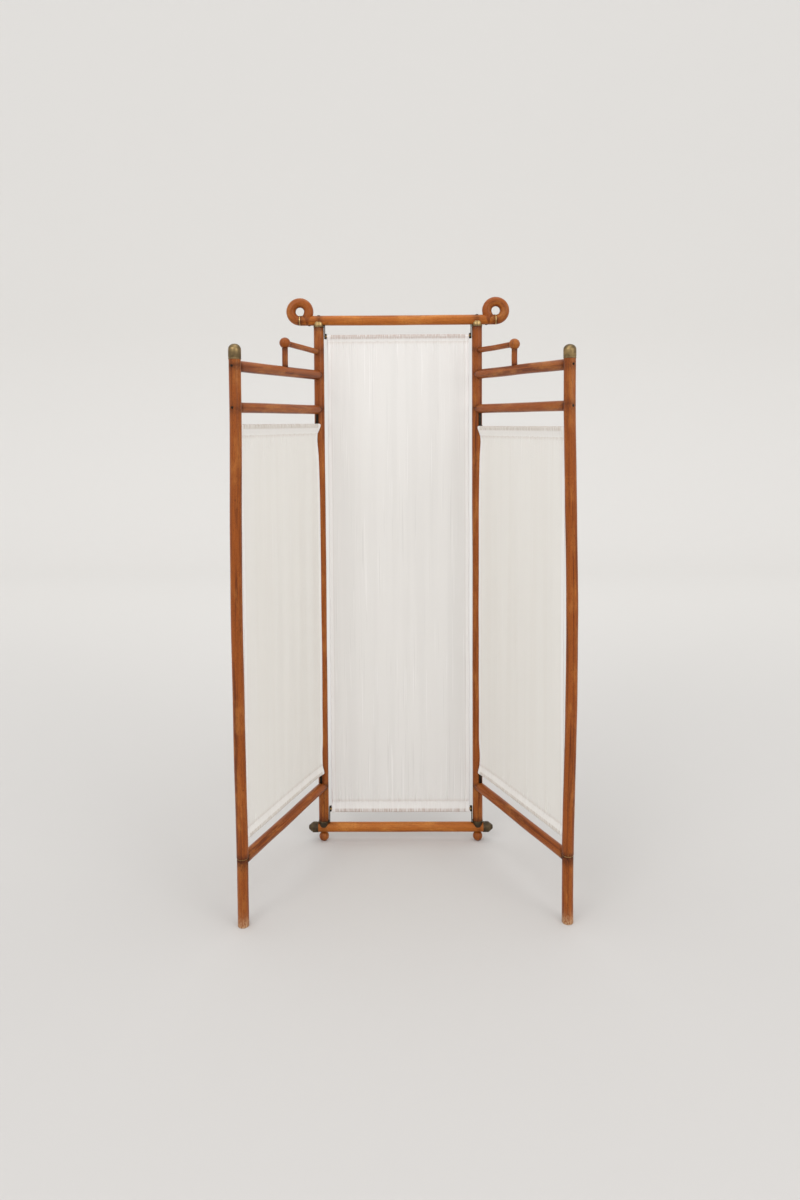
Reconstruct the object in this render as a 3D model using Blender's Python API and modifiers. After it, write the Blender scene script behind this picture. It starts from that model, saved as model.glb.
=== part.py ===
"""Three-panel folding screen of bentwood rods with cloth panels.

The centre panel stands in the plane Y = 0 and faces -Y.  Each wing turns on its own
inner post, which is held between the centre panel's top and bottom rails.  Metres, +Z up.
"""

import math

import bmesh
import bpy
from mathutils import Matrix, Vector

# ---------------------------------------------------------------- driving dimensions
GAP = 0.0003                     # clearance between neighbouring solids
MERGE_DISTANCE = 0.00001
SMOOTH_BELOW_DEGREES = 35        # edges sharper than this stay crisp in shading
POST_SPACING = 0.500             # between the two hinge axes
WING_WIDTH = 0.481               # hinge axis to outer post axis
LEFT_OPEN_ANGLE = 68.9           # degrees that a wing is turned forward of the centre's plane
RIGHT_OPEN_ANGLE = 64.6

POST_RADIUS = 0.0160
POST_BOW = {"left": -0.006, "right": 0.011}   # how far each outer post bows at mid height
BOW_SHAPE = 1.3                  # power of the half sine that the bow follows
BOW_POINTS = 26
BOW_BEVEL_RESOLUTION = 10        # 24 sides
LEG_RADIUS = 0.0154
TOP_RAIL_RADIUS = 0.0155
BOTTOM_RAIL_RADIUS = 0.0155
WING_TOP_RAIL_RADIUS = 0.0148
WING_SECOND_RAIL_RADIUS = 0.0140
WING_BOTTOM_RAIL_RADIUS = 0.0150
STRUT_RADIUS = 0.0085
STRUT_BALL_RADIUS = 0.0165
ROD_RADIUS = 0.0040

TOP_RAIL_Z = 1.682
BOTTOM_RAIL_Z = 0.044
CENTRE_TOP_ROD_Z = 1.632
CENTRE_BOTTOM_ROD_Z = 0.105
HINGE_POST_TOP_Z = 1.6602
HINGE_POST_FOOT_Z = 0.0680
WING_TOP_RAIL_Z = 1.510
WING_SECOND_RAIL_Z = 1.401
WING_BOTTOM_RAIL_Z = 0.182
STRUT_BALL_Z = {"left": 1.5925, "right": 1.5855}
STRUT_FOOT_Z = {"left": 1.5830, "right": 1.5855}   # where the arm meets the hinge axis
STRUT_BALL_REACH = 0.216         # hinge axis to ball
WING_TOP_ROD_Z = {"left": 1.352, "right": 1.342}
WING_BOTTOM_ROD_Z = 0.235
CAP_TOP_Z = {"left": 1.5680, "right": 1.5625}
LEG_TOP_Z = 0.1870

SCROLL_OFFSET = 0.059            # post axis to the lowest point of the scroll ring
SCROLL_RING_RADIUS = 0.0280
SCROLL_ROD_RADIUS = 0.0150
SCROLL_BAND_LENGTH = 0.0030
SCROLL_SCREW_OFFSET = 0.0295     # post axis to the screw that ties the ring to the rail

RAIL_CAP_REACH = 0.0490          # post axis to the nose of the bottom rail's cap
RAIL_CAP_LENGTH = 0.0315
RAIL_CAP_NOSE = 0.0140           # solid nose beyond the rail's end
# shares of the cap's radius, and of its nose's length from the tip
RAIL_CAP_NOSE_OUTLINE = ((0.30, 0.03), (0.52, 0.24), (0.74, 0.52), (0.90, 0.78), (1.00, 1.00))
CAP_WALL = 0.0007
SADDLE_RADIUS = 0.0171
SADDLE_CUP = 0.0060              # height of the saddle's wide rim
SADDLE_NECK = 0.0020
SEAT_RISE = 0.0040               # how far a saddle or collar laps the rail past its axis
COLLAR_BEVEL = 0.0010
COLLAR_RADIUS = 0.0170
BALL_FOOT_RADIUS = 0.0158
BALL_FOOT_CENTRE_Z = 0.0150
PIN_FOOT_Z = 0.0080
SCROLL_SCREW_BITE = 0.0110

STUD_COLLAR_THICKNESS = 0.0014
DOWEL_FOOT_Z = 0.1600
DOWEL_TOP_Z = 0.2150
CAP_LENGTH = {"left": 0.0405, "right": 0.0372}
CAP_DOME_HEIGHT = 0.0140
CAP_DOME_STEPS = 4
STRUT_SOCKET_Z = 1.5120          # bottom of the stem's tenon in the top rail

TENON_RADIUS = 0.0065
STRUT_TENON_RADIUS = 0.0050
TENON_STOP = 0.0080              # from a post's axis to the end of a tenon
LEG_TENON_DROP = 0.0040          # the bottom rail's outer tenon sits below the rail's axis
PIVOT_SCREW_RADIUS = 0.0030
PIVOT_PIN_RADIUS = 0.0040
DOWEL_RADIUS = 0.0030
SMALL_SCREW_RADIUS = 0.0019
SCREW_HEAD_OUTLINE = ((0.0, 1.0), (0.50, 0.90), (0.86, 0.55), (1.0, 0.0))   # shares of radius and height
PIVOT_HEAD_RADIUS = 0.0052
PIVOT_HEAD_HEIGHT = 0.0030
TIE_HEAD_RADIUS = 0.0045
TIE_HEAD_HEIGHT = 0.0026
PIVOT_DEPTH = 0.0350             # how far a pivot enters its post
STEM_TENON_TOP = 0.0065          # from the ball's centre down to the stem's tenon
TENON_ROOT = 0.0400              # how far a tenon's own solid runs back into its rail
CUT_REACH = 0.0300               # how far a cutter passes the surface that it cuts
SCREW_HOLE_LENGTH = 0.0400

BRACKET_NEAR = 0.0176            # post axis to the strap's near face
BRACKET_THICKNESS = 0.0025
BRACKET_REACH = 0.0250           # post axis to the prongs' tips
BRACKET_HALF_WIDTH = 0.0050
BRACKET_TONGUE = 0.0080          # length of the strap's end let into its rail
PRONG_THICKNESS = 0.0040
PRONG_HALF_GAP = ROD_RADIUS + GAP

CLOTH_HALF_THICKNESS = 0.0009
CASING_RADIUS = 0.0056
CENTRE_CLOTH_MARGIN = 0.0256     # post axis to the cloth's edge
WING_CLOTH_MARGIN = 0.0256
WING_OUTER_MARGIN = 0.0172
WING_CLOTH_NECK = 0.0200         # how far the wing cloth's side edges pull in
NECK_POINTS = 9

ROUND_SEGMENTS = 24
SCROLL_SEGMENTS = 28
SMALL_SEGMENTS = 12
STRUT_SEGMENTS = 20
BALL_SEGMENTS = 18

HALF = POST_SPACING / 2
BRACKET_END = BRACKET_NEAR + BRACKET_THICKNESS + GAP
WOOD = (0.380, 0.123, 0.034)
RAIL_WOOD = (0.440, 0.170, 0.050)
BRASS = (0.440, 0.300, 0.120)
BRONZE = (0.075, 0.055, 0.032)
IRON = (0.030, 0.024, 0.020)
CLOTH = (0.800, 0.780, 0.745)


# ---------------------------------------------------------------- scene
def clear_scene():
    for thing in list(bpy.data.objects):
        bpy.data.objects.remove(thing, do_unlink=True)


def new_collection(name):
    collection = bpy.data.collections.new(name)
    bpy.context.scene.collection.children.link(collection)
    return collection


def material(name, colour, roughness, metallic):
    finish = bpy.data.materials.new(name)
    finish.use_nodes = True
    shader = finish.node_tree.nodes["Principled BSDF"]
    shader.inputs["Base Color"].default_value = (*colour, 1.0)
    shader.inputs["Roughness"].default_value = roughness
    shader.inputs["Metallic"].default_value = metallic
    return finish


FINISHES = {
    "wood": (WOOD, 0.38, 0.0),
    "rail_wood": (RAIL_WOOD, 0.36, 0.0),
    "brass": (BRASS, 0.34, 1.0),
    "bronze": (BRONZE, 0.42, 1.0),
    "iron": (IRON, 0.50, 1.0),
    "cloth": (CLOTH, 0.90, 0.0),
}


# ---------------------------------------------------------------- solids
class Solids:
    """Collects rods, blocks and balls in one mesh, each as a closed body of its own."""

    def __init__(self):
        self.mesh = bmesh.new()

    def rod(self, start, end, radius, segments=ROUND_SEGMENTS):
        start, end = Vector(start), Vector(end)
        along = end - start
        turn = along.to_track_quat("Z", "Y").to_matrix().to_4x4()
        place = Matrix.Translation((start + end) / 2) @ turn
        bmesh.ops.create_cone(self.mesh, cap_ends=True, segments=segments, radius1=radius,
                              radius2=radius, depth=along.length, matrix=place)
        return self

    def block(self, low, high):
        low, high = Vector(low), Vector(high)
        place = Matrix.Translation((low + high) / 2) @ Matrix.Diagonal((*(high - low), 1.0))
        bmesh.ops.create_cube(self.mesh, size=1.0, matrix=place)
        return self

    def ball(self, centre, radius, segments=ROUND_SEGMENTS):
        bmesh.ops.create_uvsphere(self.mesh, u_segments=segments, v_segments=segments // 2,
                                  radius=radius, matrix=Matrix.Translation(centre))
        return self

    def finish(self, name):
        data = bpy.data.meshes.new(name)
        self.mesh.to_mesh(data)
        self.mesh.free()
        return data


def place_object(name, data, parent, collection):
    thing = bpy.data.objects.new(name, data)
    collection.objects.link(thing)
    thing.parent = parent
    return thing


def dress(thing, finish):
    """Gives a piece its own copy of a finish, and smooth shading between its edges."""
    thing.data.materials.append(material(thing.name, *FINISHES[finish]))
    thing.data.shade_smooth()
    thing.data.set_sharp_from_angle(angle=math.radians(SMOOTH_BELOW_DEGREES))
    return thing


def solid_piece(name, parent, finish, solids):
    return dress(place_object(name, solids.finish(name), parent, PARTS), finish)


def boolean(piece, operation, label, solids):
    tool_name = f"{piece.name}_{label}"
    tool = place_object(tool_name, solids.finish(tool_name), piece.parent, CUTTERS)
    tool.hide_render = True
    tool.display_type = "WIRE"
    step = piece.modifiers.new(label, "BOOLEAN")
    step.operation = operation
    step.solver = "EXACT"
    step.object = tool
    return piece


def carve(piece, label, solids):
    return boolean(piece, "DIFFERENCE", label, solids)


def join(piece, label, solids):
    return boolean(piece, "UNION", label, solids)


def turned_piece(name, parent, finish, profile, closed=False, segments=ROUND_SEGMENTS):
    """Spins a profile of (radius, height) points about Z.

    The points run down the outer side, top to bottom; a closed profile comes back up its bore.
    """
    data = bpy.data.meshes.new(name)
    edges = [(i, i + 1) for i in range(len(profile) - 1)]
    if closed:
        edges.append((len(profile) - 1, 0))
    data.from_pydata([(radius, 0.0, height) for radius, height in profile], edges, [])
    thing = place_object(name, data, parent, PARTS)
    spin = thing.modifiers.new("turning", "SCREW")
    spin.steps = segments
    spin.render_steps = segments
    spin.use_merge_vertices = True
    spin.merge_threshold = MERGE_DISTANCE
    spin.use_smooth_shade = True
    thing.data.materials.append(material(name, *FINISHES[finish]))
    return thing


def arc(centre_radius, centre_height, radius, first, last, count):
    """Points of an arc in a turned profile, angles in degrees from the radial direction."""
    points = []
    for i in range(count + 1):
        angle = math.radians(first + (last - first) * i / count)
        points.append((centre_radius + radius * math.cos(angle),
                       centre_height + radius * math.sin(angle)))
    return points


def outline_mesh(name, outline, half_thickness):
    """A flat outline in X and Z, filled and extruded both ways along Y, as one clean mesh."""
    curve = bpy.data.curves.new(name, "CURVE")
    curve.dimensions = "2D"
    curve.fill_mode = "BOTH"
    curve.extrude = half_thickness
    spline = curve.splines.new("POLY")
    spline.points.add(len(outline) - 1)
    for point, (x, z) in zip(spline.points, outline):
        point.co = (x, z, 0.0, 1.0)
    spline.use_cyclic_u = True
    flat = bpy.data.objects.new(name, curve)
    PARTS.objects.link(flat)
    data = bpy.data.meshes.new_from_object(flat.evaluated_get(bpy.context.evaluated_depsgraph_get()))
    bpy.data.objects.remove(flat, do_unlink=True)
    shape = bmesh.new()
    shape.from_mesh(data)
    bmesh.ops.remove_doubles(shape, verts=shape.verts, dist=MERGE_DISTANCE)
    bmesh.ops.rotate(shape, verts=shape.verts, cent=(0, 0, 0), matrix=Matrix.Rotation(math.pi / 2, 3, "X"))
    bmesh.ops.recalc_face_normals(shape, faces=shape.faces)
    shape.to_mesh(data)
    shape.free()
    return data


# ---------------------------------------------------------------- rod brackets
def bracket_outline(post_x, inward, rod_z, rail_face_z):
    """A strap beside a post, from its rail to a fork that holds a rod's end.

    inward is the direction along X away from the post; rail_face_z is the height of the
    rail's surface, into which the strap's tongue is let.
    """
    away = 1.0 if rod_z > rail_face_z else -1.0
    near = post_x + inward * BRACKET_NEAR
    strap = near + inward * BRACKET_THICKNESS
    tip = post_x + inward * BRACKET_REACH
    outer = PRONG_HALF_GAP + PRONG_THICKNESS
    tongue_z = rail_face_z - away * BRACKET_TONGUE
    return [
        (near, tongue_z),
        (strap, tongue_z),
        (strap, rod_z - away * outer),
        (tip, rod_z - away * outer),
        (tip, rod_z - away * PRONG_HALF_GAP),
        (strap, rod_z - away * PRONG_HALF_GAP),
        (strap, rod_z + away * PRONG_HALF_GAP),
        (tip, rod_z + away * PRONG_HALF_GAP),
        (tip, rod_z + away * outer),
        (near, rod_z + away * outer),
    ]


def bracket_slot(solids, post_x, inward, rod_z, rail_face_z):
    """Adds the slot in a rail that a bracket's tongue goes into."""
    away = 1.0 if rod_z > rail_face_z else -1.0
    near = post_x + inward * (BRACKET_NEAR - GAP)
    far = post_x + inward * (BRACKET_NEAR + BRACKET_THICKNESS + GAP)
    bottom = rail_face_z - away * (BRACKET_TONGUE + GAP)
    top = rail_face_z + away * BRACKET_TONGUE
    low = (min(near, far), -BRACKET_HALF_WIDTH - GAP, min(bottom, top))
    high = (max(near, far), BRACKET_HALF_WIDTH + GAP, max(bottom, top))
    return solids.block(low, high)


def bracket_piece(name, parent, outline):
    data = outline_mesh(name, outline, BRACKET_HALF_WIDTH)
    return dress(place_object(name, data, parent, PARTS), "iron")


# ---------------------------------------------------------------- cloth and its rods
def cloth_outline(low_x, high_x, low_z, high_z, neck):
    """A panel whose side edges pull in by neck at mid height, on a parabola."""
    right, left = [], []
    for i in range(NECK_POINTS):
        share = i / (NECK_POINTS - 1)
        pull = neck * 4 * share * (1 - share)
        right.append((high_x - pull, low_z + (high_z - low_z) * share))
        left.append((low_x + pull, high_z - (high_z - low_z) * share))
    return right + left


def cloth_piece(name, parent, low_x, high_x, low_z, high_z, neck):
    outline = cloth_outline(low_x, high_x, low_z, high_z, neck)
    data = outline_mesh(name, outline, CLOTH_HALF_THICKNESS)
    cloth = dress(place_object(name, data, parent, PARTS), "cloth")
    casings = Solids()
    bores = Solids()
    for height in (low_z, high_z):
        casings.rod((low_x, 0, height), (high_x, 0, height), CASING_RADIUS, SMALL_SEGMENTS)
        bores.rod((low_x - CUT_REACH, 0, height), (high_x + CUT_REACH, 0, height), ROD_RADIUS + GAP,
                  SMALL_SEGMENTS)
    join(cloth, "casings", casings)
    return carve(cloth, "rod_bores", bores)


def rod_piece(name, parent, low_x, high_x, height):
    solids = Solids().rod((low_x, 0, height), (high_x, 0, height), ROD_RADIUS, SMALL_SEGMENTS)
    return solid_piece(name, parent, "brass", solids)


# ---------------------------------------------------------------- centre panel
def build_top_rail(parent):
    end = HALF + SCROLL_OFFSET - SCROLL_BAND_LENGTH / 2 - GAP
    rail = solid_piece("top_rail", parent, "rail_wood",
                       Solids().rod((-end, 0, TOP_RAIL_Z), (end, 0, TOP_RAIL_Z), TOP_RAIL_RADIUS))
    holes = Solids()
    for side in (-1, 1):
        post_x = side * HALF
        screw_x = side * (HALF + SCROLL_SCREW_OFFSET)
        low_z = TOP_RAIL_Z - TOP_RAIL_RADIUS
        for x, radius in ((post_x, PIVOT_SCREW_RADIUS), (screw_x, SMALL_SCREW_RADIUS)):
            holes.rod((x, 0, low_z - CUT_REACH), (x, 0, low_z + SCREW_HOLE_LENGTH), radius + GAP,
                      SMALL_SEGMENTS)
        bracket_slot(holes, post_x, -side, CENTRE_TOP_ROD_Z, low_z)
    return carve(rail, "holes", holes)


def build_bottom_rail(parent):
    end = HALF + RAIL_CAP_REACH - RAIL_CAP_NOSE
    rail = solid_piece("bottom_rail", parent, "rail_wood",
                       Solids().rod((-end, 0, BOTTOM_RAIL_Z), (end, 0, BOTTOM_RAIL_Z), BOTTOM_RAIL_RADIUS))
    holes = Solids()
    for side in (-1, 1):
        post_x = side * HALF
        top_z = BOTTOM_RAIL_Z + BOTTOM_RAIL_RADIUS
        holes.rod((post_x, 0, 0.0), (post_x, 0, top_z + CUT_REACH), PIVOT_PIN_RADIUS + GAP,
                  SMALL_SEGMENTS)
        bracket_slot(holes, post_x, -side, CENTRE_BOTTOM_ROD_Z, top_z)
    return carve(rail, "holes", holes)


def build_scroll(side_name, side, parent):
    """A bent ring that starts at the rail's end, curls round and lands on top of the rail."""
    name = f"scroll_{side_name}"
    centre = Vector((side * (HALF + SCROLL_OFFSET), 0, TOP_RAIL_Z + SCROLL_RING_RADIUS))
    bpy.ops.mesh.primitive_torus_add(major_segments=SCROLL_SEGMENTS, minor_segments=ROUND_SEGMENTS // 2,
                                     major_radius=SCROLL_RING_RADIUS, minor_radius=SCROLL_ROD_RADIUS)
    ring = bpy.context.object
    for collection in list(ring.users_collection):
        collection.objects.unlink(ring)
    PARTS.objects.link(ring)
    ring.name = name
    ring.data.name = name
    ring.data.transform(Matrix.Translation(centre) @ Matrix.Rotation(math.pi / 2, 4, "X"))
    ring.parent = parent
    dress(ring, "wood")
    inner = side * (HALF - CUT_REACH)
    outer = side * (HALF + SCROLL_OFFSET + SCROLL_BAND_LENGTH / 2 + GAP)
    carve(ring, "rail_seat", Solids().rod((inner, 0, TOP_RAIL_Z), (outer, 0, TOP_RAIL_Z),
                                          TOP_RAIL_RADIUS + GAP))
    screw_x = side * (HALF + SCROLL_SCREW_OFFSET)
    hole_top = TOP_RAIL_Z + TOP_RAIL_RADIUS + SCROLL_SCREW_BITE + GAP
    return carve(ring, "screw_hole", Solids().rod((screw_x, 0, TOP_RAIL_Z), (screw_x, 0, hole_top),
                                                  SMALL_SCREW_RADIUS + GAP, SMALL_SEGMENTS))


def build_scroll_band(side_name, side, parent):
    middle = side * (HALF + SCROLL_OFFSET)
    half = SCROLL_BAND_LENGTH / 2
    solids = Solids().rod((middle - half, 0, TOP_RAIL_Z), (middle + half, 0, TOP_RAIL_Z), TOP_RAIL_RADIUS)
    return solid_piece(f"scroll_band_{side_name}", parent, "brass", solids)


def rail_tool(x, height, radius):
    """A cutter shaped like the stretch of a rail that passes over or under x."""
    return Solids().rod((x - CUT_REACH, 0, height), (x + CUT_REACH, 0, height), radius + GAP)


def build_saddle(side_name, side, parent):
    """Flared brass seat between a hinge post's head and the top rail."""
    top_z = TOP_RAIL_Z - SEAT_RISE
    low_z = HINGE_POST_TOP_Z + GAP
    bore = PIVOT_SCREW_RADIUS + GAP
    profile = [
        (SADDLE_RADIUS, top_z),
        (SADDLE_RADIUS, top_z - SADDLE_CUP),
        (POST_RADIUS + GAP, low_z + SADDLE_NECK),
        (POST_RADIUS, low_z),
        (bore, low_z),
        (bore, top_z),
    ]
    saddle = turned_piece(f"top_pivot_saddle_{side_name}", parent, "brass", profile, closed=True)
    saddle.location.x = side * HALF
    return carve(saddle, "rail_seat", rail_tool(side * HALF, TOP_RAIL_Z, TOP_RAIL_RADIUS))


def build_collar(side_name, side, parent):
    """Dark ring that a hinge post's foot turns on, seated on the bottom rail."""
    top_z = HINGE_POST_FOOT_Z - GAP
    low_z = BOTTOM_RAIL_Z + SEAT_RISE
    bore = PIVOT_PIN_RADIUS + GAP
    profile = [
        (COLLAR_RADIUS - COLLAR_BEVEL, top_z),
        (COLLAR_RADIUS, top_z - COLLAR_BEVEL),
        (COLLAR_RADIUS, low_z),
        (bore, low_z),
        (bore, top_z),
    ]
    collar = turned_piece(f"bottom_pivot_collar_{side_name}", parent, "bronze", profile, closed=True)
    collar.location.x = side * HALF
    return carve(collar, "rail_seat", rail_tool(side * HALF, BOTTOM_RAIL_Z, BOTTOM_RAIL_RADIUS))


def build_ball_foot(side_name, side, parent):
    """Turned wooden ball with a small flat underneath, hollowed to fit under the rail."""
    below = math.degrees(math.asin(-BALL_FOOT_CENTRE_Z / BALL_FOOT_RADIUS))
    profile = arc(0.0, BALL_FOOT_CENTRE_Z, BALL_FOOT_RADIUS, 90, below, 8)
    profile[0] = (0.0, profile[0][1])
    profile[-1] = (profile[-1][0], 0.0)
    profile.append((0.0, 0.0))
    foot = turned_piece(f"ball_foot_{side_name}", parent, "wood", profile)
    foot.location.x = side * HALF
    carve(foot, "rail_seat", rail_tool(side * HALF, BOTTOM_RAIL_Z, BOTTOM_RAIL_RADIUS))
    hole = Solids().rod((side * HALF, 0, PIN_FOOT_Z - GAP), (side * HALF, 0, BOTTOM_RAIL_Z),
                        PIVOT_PIN_RADIUS + GAP, SMALL_SEGMENTS)
    return carve(foot, "pin_hole", hole)


def build_rail_cap(side_name, side, parent):
    """Bronze cap with a blunt conical nose, over an end of the bottom rail."""
    inner = BOTTOM_RAIL_RADIUS + GAP
    outer = inner + CAP_WALL
    shoulder = RAIL_CAP_REACH - RAIL_CAP_NOSE
    start = RAIL_CAP_REACH - RAIL_CAP_LENGTH
    profile = [(0.0, RAIL_CAP_REACH)]
    for radius_share, length_share in RAIL_CAP_NOSE_OUTLINE:
        profile.append((outer * radius_share, RAIL_CAP_REACH - RAIL_CAP_NOSE * length_share))
    profile += [
        (outer, start),
        (inner, start),
        (inner, shoulder + GAP),
        (0.0, shoulder + GAP),
    ]
    cap = turned_piece(f"rail_cap_{side_name}", parent, "bronze", profile)
    cap.rotation_euler.y = side * math.pi / 2
    cap.location = (side * HALF, 0, BOTTOM_RAIL_Z)
    return cap


def screw_profile(head_radius, head_height, shank_radius, shank_length):
    """Domed head above Z = 0 and a shank below it."""
    head = [(head_radius * across, head_height * up) for across, up in SCREW_HEAD_OUTLINE]
    return head + [
        (shank_radius, 0.0),
        (shank_radius, -shank_length),
        (0.0, -shank_length),
    ]


def screw_piece(name, parent, profile, position, head_down=False):
    """A turned screw with its head above Z = 0, turned over where the head points down."""
    screw = turned_piece(name, parent, "iron", profile, segments=SMALL_SEGMENTS)
    screw.location = position
    if head_down:
        screw.rotation_euler.x = math.pi
    return screw


def build_centre_fasteners(side_name, side, parent):
    rail_top = TOP_RAIL_Z + TOP_RAIL_RADIUS
    rail_foot = TOP_RAIL_Z - TOP_RAIL_RADIUS
    post_x = side * HALF
    pivot = screw_profile(PIVOT_HEAD_RADIUS, PIVOT_HEAD_HEIGHT, PIVOT_SCREW_RADIUS,
                          rail_top - HINGE_POST_TOP_Z + PIVOT_DEPTH)
    screw_piece(f"top_pivot_screw_{side_name}", parent, pivot, (post_x, 0, rail_top + GAP))
    tie = screw_profile(TIE_HEAD_RADIUS, TIE_HEAD_HEIGHT, SMALL_SCREW_RADIUS,
                        2 * TOP_RAIL_RADIUS + SCROLL_SCREW_BITE)
    tie_at = (side * (HALF + SCROLL_SCREW_OFFSET), 0, rail_foot - GAP)
    screw_piece(f"scroll_screw_{side_name}", parent, tie, tie_at, head_down=True)
    pin = Solids().rod((post_x, 0, PIN_FOOT_Z), (post_x, 0, HINGE_POST_FOOT_Z + PIVOT_DEPTH),
                       PIVOT_PIN_RADIUS, SMALL_SEGMENTS)
    solid_piece(f"bottom_pivot_pin_{side_name}", parent, "iron", pin)


def build_centre_panel(parent):
    build_top_rail(parent)
    build_bottom_rail(parent)
    top_face = TOP_RAIL_Z - TOP_RAIL_RADIUS
    bottom_face = BOTTOM_RAIL_Z + BOTTOM_RAIL_RADIUS
    for side_name, side in (("left", -1), ("right", 1)):
        build_centre_fasteners(side_name, side, parent)
        build_scroll(side_name, side, parent)
        build_scroll_band(side_name, side, parent)
        build_saddle(side_name, side, parent)
        build_collar(side_name, side, parent)
        build_ball_foot(side_name, side, parent)
        build_rail_cap(side_name, side, parent)
        top = bracket_outline(side * HALF, -side, CENTRE_TOP_ROD_Z, top_face)
        bracket_piece(f"top_rod_bracket_{side_name}", parent, top)
        bottom = bracket_outline(side * HALF, -side, CENTRE_BOTTOM_ROD_Z, bottom_face)
        bracket_piece(f"bottom_rod_bracket_{side_name}", parent, bottom)
    rod_end = HALF - BRACKET_END
    rod_piece("centre_top_rod", parent, -rod_end, rod_end, CENTRE_TOP_ROD_Z)
    rod_piece("centre_bottom_rod", parent, -rod_end, rod_end, CENTRE_BOTTOM_ROD_Z)
    edge = HALF - CENTRE_CLOTH_MARGIN
    cloth_piece("centre_cloth", parent, -edge, edge, CENTRE_BOTTOM_ROD_Z, CENTRE_TOP_ROD_Z, 0.0)


# ---------------------------------------------------------------- wings
# A wing is built along +X from its hinge axis at X = 0 to its outer post at X = WING_WIDTH.
def wing_rails():
    """Name, height, radius and outer tenon height of each rail between the two posts."""
    return (
        ("top_rail", WING_TOP_RAIL_Z, WING_TOP_RAIL_RADIUS, WING_TOP_RAIL_Z),
        ("second_rail", WING_SECOND_RAIL_Z, WING_SECOND_RAIL_RADIUS, WING_SECOND_RAIL_Z),
        ("bottom_rail", WING_BOTTOM_RAIL_Z, WING_BOTTOM_RAIL_RADIUS, WING_BOTTOM_RAIL_Z - LEG_TENON_DROP),
    )


def inner_socket(solids, height, radius):
    start = (TENON_STOP - GAP, 0, height)
    end = (CUT_REACH, 0, height)
    return solids.rod(start, end, radius, SMALL_SEGMENTS)


def outer_socket(solids, height, radius):
    start = (WING_WIDTH - CUT_REACH, 0, height)
    end = (WING_WIDTH - TENON_STOP + GAP, 0, height)
    return solids.rod(start, end, radius, SMALL_SEGMENTS)


def bowed_rod(name, parent, finish, x, low_z, high_z, radius, bow):
    """An upright rod at x whose axis bows along Y between the leg and the second rail.

    The axis is off the straight by bow times a power of half a sine, so the ends leave smoothly.
    """
    curve = bpy.data.curves.new(name, "CURVE")
    curve.dimensions = "3D"
    curve.twist_mode = "MINIMUM"
    curve.bevel_depth = radius
    curve.bevel_resolution = BOW_BEVEL_RESOLUTION
    curve.use_fill_caps = True
    spline = curve.splines.new("POLY")
    spline.points.add(BOW_POINTS - 1)
    for i, point in enumerate(spline.points):
        height = low_z + (high_z - low_z) * i / (BOW_POINTS - 1)
        share = (height - LEG_TOP_Z) / (WING_SECOND_RAIL_Z - LEG_TOP_Z)
        share = min(max(share, 0.0), 1.0)
        point.co = (x, bow * math.sin(math.pi * share) ** BOW_SHAPE, height, 1.0)
    tube = bpy.data.objects.new(name, curve)
    PARTS.objects.link(tube)
    data = bpy.data.meshes.new_from_object(tube.evaluated_get(bpy.context.evaluated_depsgraph_get()))
    bpy.data.objects.remove(tube, do_unlink=True)
    shape = bmesh.new()
    shape.from_mesh(data)
    bmesh.ops.remove_doubles(shape, verts=shape.verts, dist=MERGE_DISTANCE)
    bmesh.ops.recalc_face_normals(shape, faces=shape.faces)
    shape.to_mesh(data)
    shape.free()
    return dress(place_object(name, data, parent, PARTS), finish)


def build_hinge_post(prefix, parent):
    post = solid_piece(f"{prefix}_hinge_post", parent, "wood",
                       Solids().rod((0, 0, HINGE_POST_FOOT_Z), (0, 0, HINGE_POST_TOP_Z), POST_RADIUS))
    holes = Solids()
    holes.rod((0, 0, HINGE_POST_TOP_Z - PIVOT_DEPTH - GAP), (0, 0, HINGE_POST_TOP_Z + CUT_REACH),
              PIVOT_SCREW_RADIUS + GAP, SMALL_SEGMENTS)
    holes.rod((0, 0, HINGE_POST_FOOT_Z - CUT_REACH), (0, 0, HINGE_POST_FOOT_Z + PIVOT_DEPTH + GAP),
              PIVOT_PIN_RADIUS + GAP, SMALL_SEGMENTS)
    for _, height, _, _ in wing_rails():
        inner_socket(holes, height, TENON_RADIUS + GAP)
    holes.rod(along_arm(prefix, TENON_STOP - GAP), along_arm(prefix, CUT_REACH), STRUT_TENON_RADIUS + GAP,
              SMALL_SEGMENTS)
    return carve(post, "holes", holes)


def build_outer_post(prefix, parent):
    low_z = LEG_TOP_Z + STUD_COLLAR_THICKNESS + 2 * GAP
    top_z = CAP_TOP_Z[prefix] - CAP_DOME_HEIGHT - GAP
    post = bowed_rod(f"{prefix}_outer_post", parent, "wood", WING_WIDTH, low_z, top_z, POST_RADIUS,
                     POST_BOW[prefix])
    holes = Solids()
    for height in (WING_TOP_RAIL_Z, WING_SECOND_RAIL_Z):
        outer_socket(holes, height, TENON_RADIUS + GAP)
    holes.rod((WING_WIDTH, 0, low_z - CUT_REACH), (WING_WIDTH, 0, DOWEL_TOP_Z + GAP), DOWEL_RADIUS + GAP,
              SMALL_SEGMENTS)
    for height in (WING_TOP_ROD_Z[prefix], WING_BOTTOM_ROD_Z):
        outer_socket(holes, height, ROD_RADIUS + GAP)
    return carve(post, "holes", holes)


def build_leg(prefix, parent):
    leg = solid_piece(f"{prefix}_leg", parent, "wood",
                      Solids().rod((WING_WIDTH, 0, 0), (WING_WIDTH, 0, LEG_TOP_Z), LEG_RADIUS))
    holes = Solids()
    outer_socket(holes, WING_BOTTOM_RAIL_Z - LEG_TENON_DROP, TENON_RADIUS + GAP)
    holes.rod((WING_WIDTH, 0, DOWEL_FOOT_Z - GAP), (WING_WIDTH, 0, LEG_TOP_Z + CUT_REACH),
              DOWEL_RADIUS + GAP, SMALL_SEGMENTS)
    return carve(leg, "holes", holes)


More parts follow.
